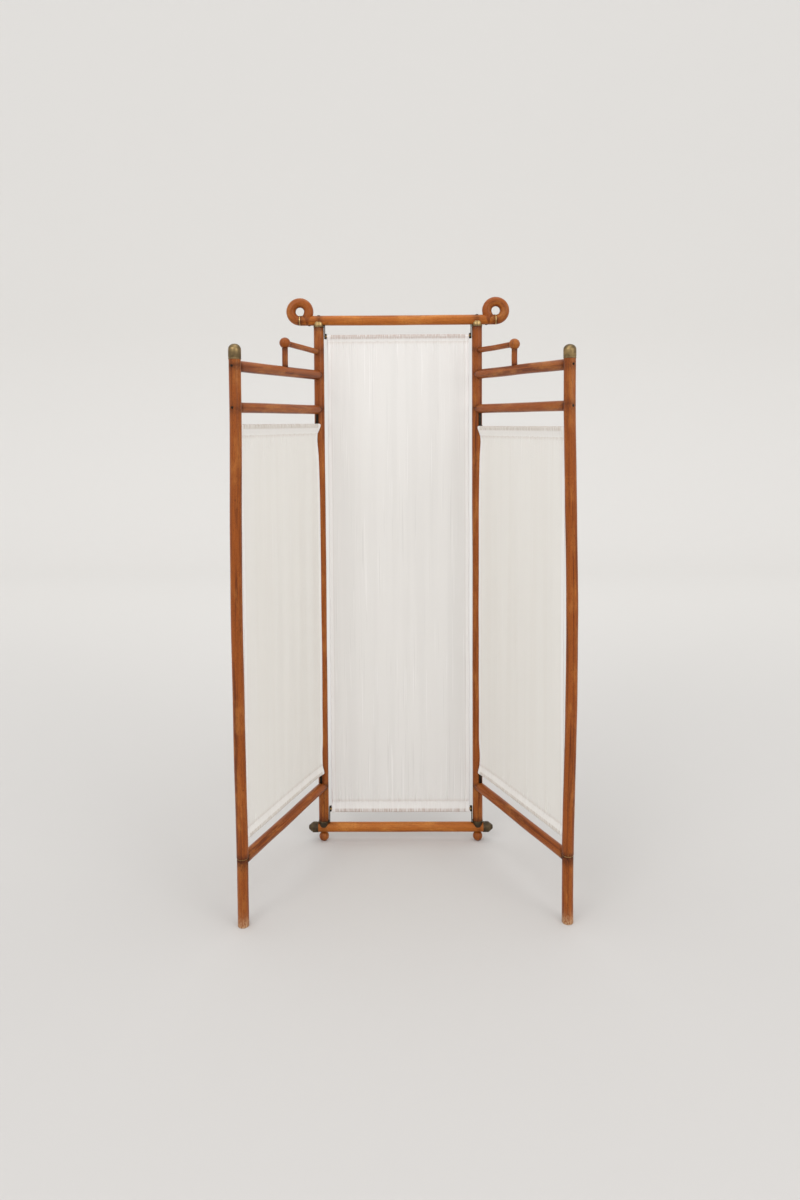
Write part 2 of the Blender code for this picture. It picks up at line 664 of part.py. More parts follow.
def build_leg_stud(prefix, parent):
    """Brass stud with a thin collar that shows between the outer post and its leg."""
    low_z = LEG_TOP_Z + GAP
    top_z = low_z + STUD_COLLAR_THICKNESS
    profile = [
        (0.0, DOWEL_TOP_Z),
        (DOWEL_RADIUS, DOWEL_TOP_Z),
        (DOWEL_RADIUS, top_z),
        (LEG_RADIUS, top_z),
        (LEG_RADIUS, low_z),
        (DOWEL_RADIUS, low_z),
        (DOWEL_RADIUS, DOWEL_FOOT_Z),
        (0.0, DOWEL_FOOT_Z),
    ]
    stud = turned_piece(f"{prefix}_leg_stud", parent, "brass", profile)
    stud.location.x = WING_WIDTH
    return stud


def build_post_cap(prefix, parent):
    """Thin brass dome pulled over the outer post's head."""
    inner = POST_RADIUS + GAP
    outer = inner + CAP_WALL
    crown = CAP_TOP_Z[prefix]
    dome_foot = crown - CAP_DOME_HEIGHT
    low_z = crown - CAP_LENGTH[prefix]
    outside = []
    inside = []
    for i in range(CAP_DOME_STEPS + 1):
        angle = math.radians(90 - 90 * i / CAP_DOME_STEPS)
        outside.append((outer * math.cos(angle), dome_foot + CAP_DOME_HEIGHT * math.sin(angle)))
        inside.append((inner * math.cos(angle), dome_foot + (CAP_DOME_HEIGHT - CAP_WALL) * math.sin(angle)))
    outside[0] = (0.0, crown)
    inside[0] = (0.0, crown - CAP_WALL)
    profile = outside + [(outer, low_z), (inner, low_z)] + inside[::-1]
    cap = turned_piece(f"{prefix}_post_cap", parent, "brass", profile)
    cap.location.x = WING_WIDTH
    return cap


def build_wing_rail(prefix, parent, name, height, radius, outer_tenon_z):
    """A round rail whose ends fit round the posts, with a tenon into each post."""
    rail = solid_piece(f"{prefix}_{name}", parent, "wood",
                       Solids().rod((0, 0, height), (WING_WIDTH, 0, height), radius))
    copes = Solids()
    for x in (0.0, WING_WIDTH):
        copes.rod((x, 0, height - CUT_REACH), (x, 0, height + CUT_REACH), POST_RADIUS + GAP)
    carve(rail, "copes", copes)
    tenons = Solids()
    tenons.rod((TENON_STOP, 0, height), (TENON_STOP + TENON_ROOT, 0, height), TENON_RADIUS, SMALL_SEGMENTS)
    outer_end = WING_WIDTH - TENON_STOP
    tenons.rod((outer_end - TENON_ROOT, 0, outer_tenon_z), (outer_end, 0, outer_tenon_z), TENON_RADIUS,
               SMALL_SEGMENTS)
    join(rail, "tenons", tenons)
    holes = Solids()
    if name == "top_rail":
        holes.rod((STRUT_BALL_REACH, 0, STRUT_SOCKET_Z - GAP), (STRUT_BALL_REACH, 0, height + CUT_REACH),
                  STRUT_TENON_RADIUS + GAP, SMALL_SEGMENTS)
    else:
        rod_z, face_z = bracket_heights(prefix, name)
        bracket_slot(holes, 0.0, 1.0, rod_z, face_z)
    return carve(rail, "holes", holes)


def bracket_heights(prefix, rail_name):
    """Height of the cloth's rod, and of the rail face that its brackets are let into."""
    if rail_name == "second_rail":
        return WING_TOP_ROD_Z[prefix], WING_SECOND_RAIL_Z - WING_SECOND_RAIL_RADIUS
    return WING_BOTTOM_ROD_Z, WING_BOTTOM_RAIL_Z + WING_BOTTOM_RAIL_RADIUS


def along_arm(prefix, distance):
    """A point on the strut arm's axis, at this distance from the hinge axis."""
    foot = Vector((0, 0, STRUT_FOOT_Z[prefix]))
    ball = Vector((STRUT_BALL_REACH, 0, STRUT_BALL_Z[prefix]))
    return foot + (ball - foot).normalized() * distance


def build_strut(prefix, parent):
    """The corner brace: an arm from the hinge post and a stem from the top rail meet in a ball."""
    reach = STRUT_BALL_REACH
    ball_z = STRUT_BALL_Z[prefix]
    ball_at = Vector((reach, 0, ball_z))
    foot = along_arm(prefix, 0)
    span = (ball_at - foot).length
    socket = STRUT_TENON_RADIUS + GAP
    stem_top_z = ball_z - STEM_TENON_TOP
    ball = solid_piece(f"{prefix}_strut_ball", parent, "wood",
                       Solids().ball(ball_at, STRUT_BALL_RADIUS, BALL_SEGMENTS))
    sockets = Solids()
    sockets.rod(along_arm(prefix, span - CUT_REACH), along_arm(prefix, span - STRUT_TENON_RADIUS), socket,
                SMALL_SEGMENTS)
    sockets.rod((reach, 0, ball_z - CUT_REACH), (reach, 0, stem_top_z), socket, SMALL_SEGMENTS)
    carve(ball, "sockets", sockets)

    arm = solid_piece(f"{prefix}_strut_arm", parent, "wood",
                      Solids().rod(foot, ball_at, STRUT_RADIUS, STRUT_SEGMENTS))
    ends = Solids().rod((0, 0, foot.z - CUT_REACH), (0, 0, foot.z + CUT_REACH), POST_RADIUS + GAP)
    ends.ball(ball_at, STRUT_BALL_RADIUS + GAP, BALL_SEGMENTS)
    carve(arm, "ends", ends)
    arm_tenons = Solids()
    arm_end = span - STRUT_TENON_RADIUS - GAP
    for start, end in ((TENON_STOP, TENON_STOP + CUT_REACH), (arm_end - TENON_ROOT, arm_end)):
        arm_tenons.rod(along_arm(prefix, start), along_arm(prefix, end), STRUT_TENON_RADIUS, SMALL_SEGMENTS)
    join(arm, "tenons", arm_tenons)

    stem = solid_piece(f"{prefix}_strut_stem", parent, "wood",
                       Solids().rod((reach, 0, WING_TOP_RAIL_Z), ball_at, STRUT_RADIUS, STRUT_SEGMENTS))
    ends = Solids().rod((reach - CUT_REACH, 0, WING_TOP_RAIL_Z), (reach + CUT_REACH, 0, WING_TOP_RAIL_Z),
                        WING_TOP_RAIL_RADIUS + GAP)
    ends.ball(ball_at, STRUT_BALL_RADIUS + GAP, BALL_SEGMENTS)
    carve(stem, "ends", ends)
    stem_tenon = Solids().rod((reach, 0, STRUT_SOCKET_Z), (reach, 0, stem_top_z - GAP), STRUT_TENON_RADIUS,
                              SMALL_SEGMENTS)
    join(stem, "tenons", stem_tenon)


def build_wing(prefix, parent):
    build_hinge_post(prefix, parent)
    build_outer_post(prefix, parent)
    build_leg(prefix, parent)
    build_leg_stud(prefix, parent)
    build_post_cap(prefix, parent)
    for name, height, radius, outer_tenon_z in wing_rails():
        build_wing_rail(prefix, parent, name, height, radius, outer_tenon_z)
    build_strut(prefix, parent)
    for level, rail_name in (("top", "second_rail"), ("bottom", "bottom_rail")):
        rod_z, face_z = bracket_heights(prefix, rail_name)
        bracket_piece(f"{prefix}_{level}_rod_bracket", parent, bracket_outline(0.0, 1.0, rod_z, face_z))
        rod_piece(f"{prefix}_{level}_rod", parent, BRACKET_END, WING_WIDTH - TENON_STOP, rod_z)
    cloth_piece(f"{prefix}_cloth", parent, WING_CLOTH_MARGIN, WING_WIDTH - WING_OUTER_MARGIN,
                WING_BOTTOM_ROD_Z, WING_TOP_ROD_Z[prefix], WING_CLOTH_NECK)


# ---------------------------------------------------------------- assembly
def new_origin(name, parent, position, turn_degrees):
    origin = bpy.data.objects.new(name, None)
    PARTS.objects.link(origin)
    origin.parent = parent
    origin.location = position
    origin.rotation_euler.z = math.radians(turn_degrees)
    return origin


def floor_origin():
    """Moves the model so that the origin is under the middle of its box at rest."""
    edge = POST_RADIUS + GAP + CAP_WALL
    left = math.radians(LEFT_OPEN_ANGLE)
    right = math.radians(RIGHT_OPEN_ANGLE)
    left_edge = max(edge, POST_RADIUS + abs(POST_BOW["left"]) * math.sin(left))
    right_edge = max(edge, POST_RADIUS + abs(POST_BOW["right"]) * math.sin(right))
    low_x = -HALF - WING_WIDTH * math.cos(left) - left_edge
    high_x = HALF + WING_WIDTH * math.cos(right) + right_edge
    low_y = -WING_WIDTH * max(math.sin(left), math.sin(right)) - edge
    high_y = COLLAR_RADIUS
    return Vector((-(low_x + high_x) / 2, -(low_y + high_y) / 2, 0))


clear_scene()
PARTS = new_collection("folding_screen")
CUTTERS = new_collection("cutters")
screen = new_origin("screen_origin", None, floor_origin(), 0)
left_hinge = new_origin("left_hinge_axis", screen, (-HALF, 0, 0), 180 + LEFT_OPEN_ANGLE)
right_hinge = new_origin("right_hinge_axis", screen, (HALF, 0, 0), -RIGHT_OPEN_ANGLE)
build_centre_panel(screen)
build_wing("left", left_hinge)
build_wing("right", right_hinge)
bpy.context.view_layer.update()
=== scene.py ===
"""Fine surfaces, finishes and studio for a three-panel folding screen of bent beech rods.

Each panel has its own coordinates: s runs along the panel, t is square to it, z is up.
A wing's s starts at its hinge axis; the centre panel's s starts at its middle.  Metres.
"""

import math

import bmesh
import bpy
import numpy as np
from mathutils import Matrix, Vector


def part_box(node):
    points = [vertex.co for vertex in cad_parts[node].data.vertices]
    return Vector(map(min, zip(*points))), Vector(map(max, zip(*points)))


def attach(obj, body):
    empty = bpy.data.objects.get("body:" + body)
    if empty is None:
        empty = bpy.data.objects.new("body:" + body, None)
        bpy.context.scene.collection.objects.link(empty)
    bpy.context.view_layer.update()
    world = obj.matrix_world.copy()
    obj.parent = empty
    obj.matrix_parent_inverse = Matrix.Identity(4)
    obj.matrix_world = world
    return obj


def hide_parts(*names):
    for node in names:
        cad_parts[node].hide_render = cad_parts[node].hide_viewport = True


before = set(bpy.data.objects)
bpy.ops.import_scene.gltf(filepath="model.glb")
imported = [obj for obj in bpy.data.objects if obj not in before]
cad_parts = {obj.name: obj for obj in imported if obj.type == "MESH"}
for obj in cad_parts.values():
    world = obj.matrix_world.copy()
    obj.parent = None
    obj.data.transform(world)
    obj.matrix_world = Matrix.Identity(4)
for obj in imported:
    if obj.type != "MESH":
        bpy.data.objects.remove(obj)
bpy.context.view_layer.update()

# ---- sizes of the finish
RING_POINTS = 32  # points round a rod
ROW_LENGTH = 0.014  # distance between the rings along a rod
LEAST_ROWS = 12
SEAT_GAP = 0.0003  # between a rod's shaped end and its neighbour
BAND_PROUD = 0.0004  # how far a scroll's band stands out past the plain one
END_ROUNDING = 0.0012  # softened edge of a rod's end
SHARP_ANGLE = math.radians(38)  # edges bent more than this stay sharp
SIDE_LIMIT = 0.0002  # keeps a seated end's reach inside its post's radius
LEAST_REACH = 0.30  # share of a rail's radius that a seat never falls below

ROD_OVAL = 0.008  # a rod's unevenness: how oval, how swollen, how far off straight
ROD_SWELL = 0.010
ROD_SWAY = 0.0006
SWELL_WAVE = 0.22
SWAY_WAVES = (0.55, 0.60)  # wavelengths of the sway to the side and of the sway upwards
JOINT_DIRT = ((0.62, 0.0065), (0.22, 0.024))  # depth and width of the dark ring by a joint

SCROLL_TAIL_TURN = math.radians(326)  # where the scroll's tail has run out on the rail
TAIL_THINS_FROM = math.radians(290)
TAIL_THINS_OVER = math.radians(40)
TAIL_THINNING = 0.10
SCROLL_ROWS = 96

CLOTH_COLUMNS = 190
CLOTH_THICKNESS = 0.0005
CENTRE_POCKETS = (0.0360, 0.0220)  # cloth's edge to the seam, at the bottom and at the top
WING_POCKETS = (0.0300, 0.0310)
CENTRE_SLACK = 0.0060  # how far the bottom pocket hangs below its rod
WING_SLACK = 0.0030
HEM_WIDTH = 0.0130
CASING_GAP = 0.0007  # between a rod and the cloth round it
LAYER_GAP = 0.0009  # between the two layers where a pocket is sewn
FIELD_ROW = 0.009  # distance between the rows of the open cloth
HEM_CROWDING = 0.035  # how much closer the columns stand along the hems

# small waves of the cloth as (height, wavelength)
UPPER_GATHERS = ((0.00075, 0.0085), (0.00055, 0.0040))
LOWER_GATHERS = ((0.00085, 0.0078), (0.00050, 0.0043))
BROAD_BILLOW = (0.0011, 0.11)
NARROW_BILLOW = (0.0009, 0.050)
EDGE_LIFT = (0.0011, 0.020)
GATHER_FADE = 0.040  # how far from a seam the gathers fade, in the field
POCKET_FADE = 0.012  # and inside the pocket
SEAM_RIDGE = 0.0007
HEM_RIDGE = 0.0005

# the inner edge of a wing's cloth: its distance from the hinge axis, and how far it stands proud
LEFT_CLOTH_EDGE = (0.0165, 0.0068)
RIGHT_CLOTH_EDGE = (0.0180, 0.0045)

BOW_SHAPE = 1.3  # power of the half sine that an outer post's bow follows
FOOT_FLAT_SHARE = 0.32  # radius of a ball foot's flat over the ball's
RAIL_CAP_NOSE_SHARE = 0.44  # share of a rail cap's length that its cone takes
POST_CAP_DOME_SHARE = 0.41  # share of a post cap's height that its dome takes
BRACKET_EDGE = 0.0009  # rounding of a forged bracket's edges
BRACKET_WELD = 0.00001
BRACKET_FLAT = math.radians(2)  # neighbouring faces nearer than this to one plane are one face
SCREW_HEAD_RADIUS = 0.0036
SCREW_HEAD_HEIGHT = 0.0016
SLOT_SHARE = 0.13  # half the slot's width over the head's radius
SLOT_FLOOR = 0.55  # height left in the slot, over the dome's
HEAD_SINK = 0.0003  # how far a head's foot stands in the wood
RIM_WELD = 1e-7


# ---- measuring the frame
def middle(node):
    low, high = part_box(node)
    return (low + high) / 2


def half_height(node):
    low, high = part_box(node)
    return (high.z - low.z) / 2


def half_width(node):
    low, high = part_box(node)
    return (high.x - low.x) / 2


def height_and_radius(node):
    return middle(node).z, half_height(node)


class Panel:
    """A panel's own coordinates: along (s), across (t) and up (z)."""

    def __init__(self, body, origin, outward, inside):
        self.body = body
        self.origin = np.array([origin.x, origin.y, 0.0])
        self.along = np.array(outward.normalized())
        self.up = np.array([0.0, 0.0, 1.0])
        self.across = np.cross(self.up, self.along)
        self.inside = inside     # +1 where +t looks into the screen's opening

    def world(self, s, t, z):
        """origin + s along + t across + z up, for numbers or arrays."""
        s, t, z = np.broadcast_arrays(*(np.asarray(value, float) for value in (s, t, z)))
        return (self.origin + s[..., None] * self.along + t[..., None] * self.across
                + z[..., None] * self.up)


CENTRE = Panel("centre_frame", middle("top_rail"), Vector((1, 0, 0)), -1)


def wing_panel(side_name, inside):
    hinge = middle(f"{side_name}_hinge_post")
    foot = middle(f"{side_name}_leg")
    outward = Vector((foot.x - hinge.x, foot.y - hinge.y, 0.0))
    return Panel(f"{side_name}_wing", hinge, outward, inside), outward.length


LEFT, LEFT_WIDTH = wing_panel("left", 1)
RIGHT, RIGHT_WIDTH = wing_panel("right", -1)
POST_RADIUS = half_width("left_hinge_post")
POST_SPACING = middle("right_hinge_post").x - middle("left_hinge_post").x


# ---- smooth chance
WANDER_TERMS = 4


def wander(x, wavelength, seed):
    """A smooth wave about zero: a sum of sines of nearby wavelengths with seeded phases."""
    draw = np.random.default_rng(seed)
    total = np.zeros_like(np.asarray(x, float))
    for _ in range(WANDER_TERMS):
        length = wavelength * draw.uniform(0.6, 1.7)
        total = total + np.sin(2 * np.pi * np.asarray(x) / length + draw.uniform(0, 2 * np.pi))
    return total / math.sqrt(WANDER_TERMS)


def waves(x, sizes, seed):
    """The sum of a few seeded waves, each given as (height, wavelength)."""
    return sum(height * wander(x, wavelength, seed + k) for k, (height, wavelength) in enumerate(sizes))


def bump_at(x, centre, width):
    """A bell curve of height one at centre."""
    return np.exp(-((np.asarray(x, float) - centre) / width) ** 2)


def ease(x):
    """Smooth step from 0 to 1."""
    x = np.clip(x, 0.0, 1.0)
    return x * x * (3 - 2 * x)


# ---- meshes from grids
def closed_outwards(points, faces):
    """Turns the faces round if the volume they enclose comes out negative."""
    corners = [points[faces[:, k]] for k in (0, 1, 2)]
    last = points[faces[:, 3]]
    first_half = np.einsum("ij,ij->i", corners[0], np.cross(corners[1], corners[2])).sum()
    second_half = np.einsum("ij,ij->i", corners[0], np.cross(corners[2], last)).sum()
    return faces if first_half + second_half >= 0 else faces[:, ::-1]


def write_mesh(name, points, faces, values, finish):
    """Makes an object at the origin from points, four-cornered faces and values on the points.

    A corner that a face names twice counts once; a face left with fewer than three is dropped.
    """
    mesh = bpy.data.meshes.new(name)
    sides = [tuple(dict.fromkeys(face)) for face in faces.tolist()]
    mesh.from_pydata(points.tolist(), [], [side for side in sides if len(side) > 2])
    for label, array in values.items():
        kind, key = ("FLOAT_VECTOR", "vector") if array.ndim == 2 else ("FLOAT", "value")
        attribute = mesh.attributes.new(label, kind, "POINT")
        attribute.data.foreach_set(key, np.ascontiguousarray(array, np.float32).ravel())
    mesh.shade_smooth()
    mesh.set_sharp_from_angle(angle=SHARP_ANGLE)
    mesh.materials.append(finish)
    thing = bpy.data.objects.new(name, mesh)
    bpy.context.scene.collection.objects.link(thing)
    return thing


def tube_faces(rows, columns):
    """Faces of a grid of rings that closes on itself, with a pole point past each end."""
    i, j = np.meshgrid(np.arange(rows - 1), np.arange(columns), indexing="ij")
    after = (j + 1) % columns
    sides = np.stack([i * columns + j, i * columns + after, (i + 1) * columns + after,
                      (i + 1) * columns + j], axis=-1).reshape(-1, 4)
    j = np.arange(columns)
    after = (j + 1) % columns
    first_pole = np.full(columns, rows * columns)
    last_pole = first_pole + 1
    last_row = (rows - 1) * columns
    start = np.stack([after, j, first_pole, first_pole], axis=-1)
    end = np.stack([last_row + j, last_row + after, last_pole, last_pole], axis=-1)
    return np.concatenate([sides, start, end])


def closed_tube(name, grid, values, finish):
    """A closed body from a grid (rings, points round, 3); its end rings shrink to poles."""
    rows, columns = grid.shape[:2]

    def with_poles(array):
        flat = array.reshape(rows * columns, *array.shape[2:])
        ends = np.stack([array[0].mean(axis=0), array[-1].mean(axis=0)])
        return np.concatenate([flat, ends])

    points = with_poles(grid)
    faces = closed_outwards(points, tube_faces(rows, columns))
    return write_mesh(name, points, faces, {k: with_poles(v) for k, v in values.items()}, finish)


def sheet_faces(rows, columns):
    """Faces of an open grid of points."""
    i, j = np.meshgrid(np.arange(rows - 1), np.arange(columns - 1), indexing="ij")
    corner = i * columns + j
    return np.stack([corner, corner + 1, corner + columns + 1, corner + columns],
                    axis=-1).reshape(-1, 4)


def place(piece, body, *nodes):
    """Says which body a piece rides, and which plain solids it replaces."""
    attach(piece, body)
    if nodes:
        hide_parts(*nodes)


# ---- node helpers
def tone(red, green, blue):
    """A colour given as 0-255 display values, as the linear colour that shaders use (sRGB curve)."""
    share = np.array([red, green, blue]) / 255
    linear = np.where(share <= 0.04045, share / 12.92, ((share + 0.055) / 1.055) ** 2.4)
    return (*linear.tolist(), 1.0)


class Nodes:
    """Short ways to add and join the nodes of one tree; add gives a node, the others give sockets."""

    def __init__(self, tree):
        self.tree = tree

    def add(self, kind, inputs=None, **settings):
        node = self.tree.nodes.new(kind)
        for key, value in settings.items():
            setattr(node, key, value)
        for key, value in (inputs or {}).items():
            self.feed(node.inputs[key], value)
        return node

    def feed(self, socket, value):
        if isinstance(value, bpy.types.NodeSocket):
            self.tree.links.new(value, socket)
        else:
            socket.default_value = value

    def stretch(self, vector, scale):
        return self.add("ShaderNodeVectorMath", {0: vector, 1: scale}, operation="MULTIPLY").outputs[0]

    def noise(self, vector, scale=1.0, detail=3.0, roughness=0.5, distortion=0.0):
        inputs = {"Vector": vector, "Scale": scale, "Detail": detail, "Roughness": roughness,
                  "Distortion": distortion}
        return self.add("ShaderNodeTexNoise", inputs).outputs["Fac"]

    def step(self, value, low, high, out_low=0.0, out_high=1.0):
        """Maps low..high smoothly to out_low..out_high."""
        inputs = {"Value": value, "From Min": low, "From Max": high, "To Min": out_low, "To Max": out_high}
        return self.add("ShaderNodeMapRange", inputs, interpolation_type="SMOOTHSTEP").outputs["Result"]

    def reckon(self, operation, *values):
        return self.add("ShaderNodeMath", dict(enumerate(values)), operation=operation).outputs[0]

    def sum(self, a, b):
        return self.reckon("ADD", a, b)

    def times(self, a, b):
        return self.reckon("MULTIPLY", a, b)

    def sine(self, a):
        return self.reckon("SINE", a)

    def parts(self, vector):
        return self.add("ShaderNodeSeparateXYZ", {0: vector}).outputs

    def mix(self, share, a, b, blend="MIX"):
        node = self.add("ShaderNodeMix", data_type="RGBA", blend_type=blend)
        for key, value in ((0, share), (6, a), (7, b)):
            self.feed(node.inputs[key], value)
        return node.outputs[2]

    def attribute(self, name):
        return self.add("ShaderNodeAttribute", attribute_name=name).outputs


def new_group(name, inputs, outputs):
    """An empty node group with named sockets; gives back its nodes and the sockets at both ends."""
    tree = bpy.data.node_groups.new(name, "ShaderNodeTree")
    for label, kind in inputs:
        tree.interface.new_socket(label, in_out="INPUT", socket_type=kind)
    for label, kind in outputs:
        tree.interface.new_socket(label, in_out="OUTPUT", socket_type=kind)
    nodes = Nodes(tree)
    source = nodes.add("NodeGroupInput")
    return nodes, source.outputs, nodes.add("NodeGroupOutput").inputs


BRIGHT_THREAD = tone(240, 238, 236)
COLOUR, NUMBER, VECTOR = "NodeSocketColor", "NodeSocketFloat", "NodeSocketVector"
SURFACE_OUTPUTS = (("Colour", COLOUR), ("Roughness", NUMBER), ("Height", NUMBER))
DARKEST_STAIN = (0.34, 0.27, 0.22, 1.0)  # what multiplies the dark wood in dirt
FLECK_STAIN = (0.42, 0.36, 0.32, 1.0)  # and in flecks
WORN_WOOD = tone(196, 160, 122)
SOOT = (0.02, 0.015, 0.01, 1.0)
STITCHING = tone(188, 172, 158)
WARP_PITCH = 0.0009  # distance between the lengthwise threads
WEFT_PITCH = 0.0010
STITCH_PITCH = 0.0032


def finish_group(nodes, out, colour, rough, height):
    """Joins a surface's three results to its group's outputs; gives back the group."""
    for label, value in (("Colour", colour), ("Roughness", rough), ("Height", height)):
        nodes.feed(out[label], value)
    return nodes.tree


def build_wood_figure():
    """Beech under old stain and polish: long bands, fine fibres, short dark flecks, and dirt by joints."""
    n, given, out = new_group("wood_figure", (
        ("Grain", VECTOR), ("Pale", COLOUR), ("Middle", COLOUR), ("Dark", COLOUR),
        ("Dirt", NUMBER), ("Wear", NUMBER)), SURFACE_OUTPUTS)
    grain = given["Grain"]
    # each pattern is stretched by its repeats in a metre along and across the grain
    bands = n.noise(n.stretch(grain, (3.2, 120.0, 120.0)), detail=3.0, distortion=0.6)
    fibres = n.noise(n.stretch(grain, (16.0, 900.0, 900.0)), detail=4.0, roughness=0.6)
    flecks = n.noise(n.stretch(grain, (170.0, 1250.0, 1250.0)), detail=1.0)
    blotches = n.noise(n.stretch(grain, (11.0, 34.0, 34.0)), detail=4.0, roughness=0.62)
    colour = n.mix(n.step(bands, 0.26, 0.56), given["Dark"], given["Middle"])
    colour = n.mix(n.step(blotches, 0.46, 0.74, 0.0, 0.75), colour, given["Pale"])
    colour = n.mix(n.step(fibres, 0.38, 0.66, 0.30, 0.0), colour, given["Dark"])
    fleck_mask = n.step(flecks, 0.60, 0.69)
    dark_fleck = n.mix(1.0, given["Dark"], FLECK_STAIN, "MULTIPLY")
    colour = n.mix(n.times(fleck_mask, 0.62), colour, dark_fleck)
    dirt_noise = n.noise(n.stretch(grain, (140.0, 320.0, 320.0)), detail=4.0)
    dirt = n.times(given["Dirt"], n.step(dirt_noise, 0.25, 0.60, 0.35, 1.0))
    colour = n.mix(dirt, colour, n.mix(1.0, given["Dark"], DARKEST_STAIN, "MULTIPLY"))
    worn = n.times(given["Wear"], n.step(dirt_noise, 0.38, 0.58, 0.25, 1.0))
    colour = n.mix(worn, colour, WORN_WOOD)
    rough = n.sum(n.step(fibres, 0.3, 0.7, 0.27, 0.40), n.sum(n.times(dirt, 0.22), n.times(worn, 0.25)))
    height = n.sum(n.times(fibres, 0.5), n.sum(n.times(fleck_mask, -0.35), n.times(bands, 0.6)))
    return finish_group(n, out, colour, rough, height)


def build_old_metal():
    """Handled metal: cloudy tarnish, dark specks, fine scratches, and a brightening that is wear where hands
    go and, on some pieces, a painted highlight.
    """
    n, given, out = new_group("old_metal", (
        ("Place", VECTOR), ("Clean", COLOUR), ("Tarnish", COLOUR), ("Rub", NUMBER)), SURFACE_OUTPUTS)
    spot = given["Place"]
    clouds = n.noise(spot, scale=60.0, detail=4.0, roughness=0.50)
    specks = n.noise(spot, scale=900.0, detail=2.0)
    scratches = n.noise(n.stretch(spot, (2600.0, 2600.0, 260.0)), detail=2.0)
    # the rub value pulls the metal to its clean colour: real wear, and on the saddles and post caps a
    # painted highlight
    dull = n.times(n.step(clouds, 0.25, 0.60, 0.62, 1.0), n.sum(1.0, n.times(given["Rub"], -0.85)))
    colour = n.mix(dull, given["Clean"], given["Tarnish"])
    colour = n.mix(n.step(specks, 0.64, 0.72, 0.0, 0.45), colour,
                   n.mix(0.6, given["Tarnish"], SOOT))
    rough = n.sum(n.times(dull, 0.24), n.step(scratches, 0.35, 0.65, 0.20, 0.30))
    height = n.sum(n.times(clouds, 0.5), n.times(scratches, 0.25))
    return finish_group(n, out, colour, rough, height)


def build_plain_weave():
    """Thin plain-woven cotton: threads both ways, long uneven slubs, paler hems with a painted highlight
    beside each seam, and painted shade over the pockets' rods.
    """
    n, given, out = new_group("plain_weave", (
        ("Thread", VECTOR), ("Cloth", COLOUR), ("Slub", COLOUR), ("Pocket", COLOUR),
        ("Amount", NUMBER), ("Hem", NUMBER), ("Rod", NUMBER), ("Seam", NUMBER)), SURFACE_OUTPUTS)
    across, along, _ = n.parts(given["Thread"])
    warp = n.sine(n.times(across, 2 * math.pi / WARP_PITCH))
    weft = n.sine(n.times(along, 2 * math.pi / WEFT_PITCH))
    weave = n.times(warp, weft)
    slubs = n.noise(n.stretch(given["Thread"], (250.0, 3.0, 1.0)), detail=1.0)
    shades = n.noise(n.stretch(given["Thread"], (230.0, 2.6, 1.0)), detail=1.0)
    clusters = n.noise(n.stretch(given["Thread"], (48.0, 1.9, 1.0)), detail=1.0)
    stripes = n.noise(n.stretch(given["Thread"], (30.0, 0.6, 1.0)), detail=1.0)
    present = n.times(n.step(clusters, 0.44, 0.56), given["Amount"])
    colour = n.mix(n.times(n.step(stripes, 0.45, 0.65), 0.35), given["Cloth"], given["Slub"])
    colour = n.mix(n.times(n.step(shades, 0.62, 0.68), present), colour, given["Slub"])
    colour = n.mix(n.times(n.step(slubs, 0.63, 0.68, 0.0, 0.80), present), colour, BRIGHT_THREAD)
    # paler hems, and a painted highlight along the seams' ridges
    colour = n.mix(n.times(given["Hem"], 0.70), colour, BRIGHT_THREAD)
    # painted shade: over the rods the pocket colour darkens the cloth, broken into dashes of painted pucker
    # shade; it stands in for the rods' shadow and for the rods seen through the thin cloth
    pucker_shade = n.noise(n.stretch(given["Thread"], (420.0, 26.0, 1.0)), detail=2.0)
    rod = n.times(given["Rod"], n.step(pucker_shade, 0.40, 0.58, 0.20, 1.0))
    colour = n.mix(rod, colour, given["Pocket"])
    dashes = n.step(n.sine(n.times(across, 2 * math.pi / STITCH_PITCH)), -0.2, 0.4, 0.15, 1.0)
    colour = n.mix(n.times(n.times(given["Seam"], dashes), 0.45), colour, STITCHING)
    height = n.sum(n.times(weave, 0.4), n.sum(n.times(n.times(slubs, 0.9), present),
                                              n.times(given["Seam"], -0.6)))
    return finish_group(n, out, colour, n.step(slubs, 0.3, 0.7, 0.93, 0.80), height)


# ---- finishes
WOOD_DEPTH = 0.00012  # how deep each surface's fine relief is
METAL_DEPTH = 0.00005
WEAVE_DEPTH = 0.00010


def new_finish(name, group, values, bump_depth, **sockets):
    """A material: one effect group into a Principled BSDF; sockets hold its constant values."""
    finish = bpy.data.materials.new(name)
    finish.use_nodes = True
    nodes = Nodes(finish.node_tree)
    shader = finish.node_tree.nodes["Principled BSDF"]
    effect = nodes.add("ShaderNodeGroup", node_tree=group)
    for label, value in values(nodes).items():
        nodes.feed(effect.inputs[label], value)
    inputs = {"Height": effect.outputs["Height"], "Distance": bump_depth, "Strength": 1.0}
    bump = nodes.add("ShaderNodeBump", inputs)
    nodes.feed(shader.inputs["Base Color"], effect.outputs["Colour"])
    nodes.feed(shader.inputs["Roughness"], effect.outputs["Roughness"])
    nodes.feed(shader.inputs["Normal"], bump.outputs["Normal"])
    for label, value in sockets.items():
        shader.inputs[label.replace("_", " ")].default_value = value
    return finish


def wood_finish(name, pale, middle_tone, dark):
    def values(nodes):
        return {"Grain": nodes.attribute("grain")["Vector"], "Pale": pale, "Middle": middle_tone,
                "Dark": dark, "Dirt": nodes.attribute("dirt")["Fac"],
                "Wear": nodes.attribute("wear")["Fac"]}

    return new_finish(name, WOOD_FIGURE, values, WOOD_DEPTH, Coat_Weight=0.10, Coat_Roughness=0.16,
                      Specular_IOR_Level=0.16)


def metal_finish(name, clean, tarnish):
    def values(nodes):
        place_at = nodes.add("ShaderNodeTexCoord").outputs["Object"]
        return {"Place": place_at, "Clean": clean, "Tarnish": tarnish,
                "Rub": nodes.attribute("rub_and_highlight")["Fac"]}

    return new_finish(name, OLD_METAL, values, METAL_DEPTH, Metallic=1.0)
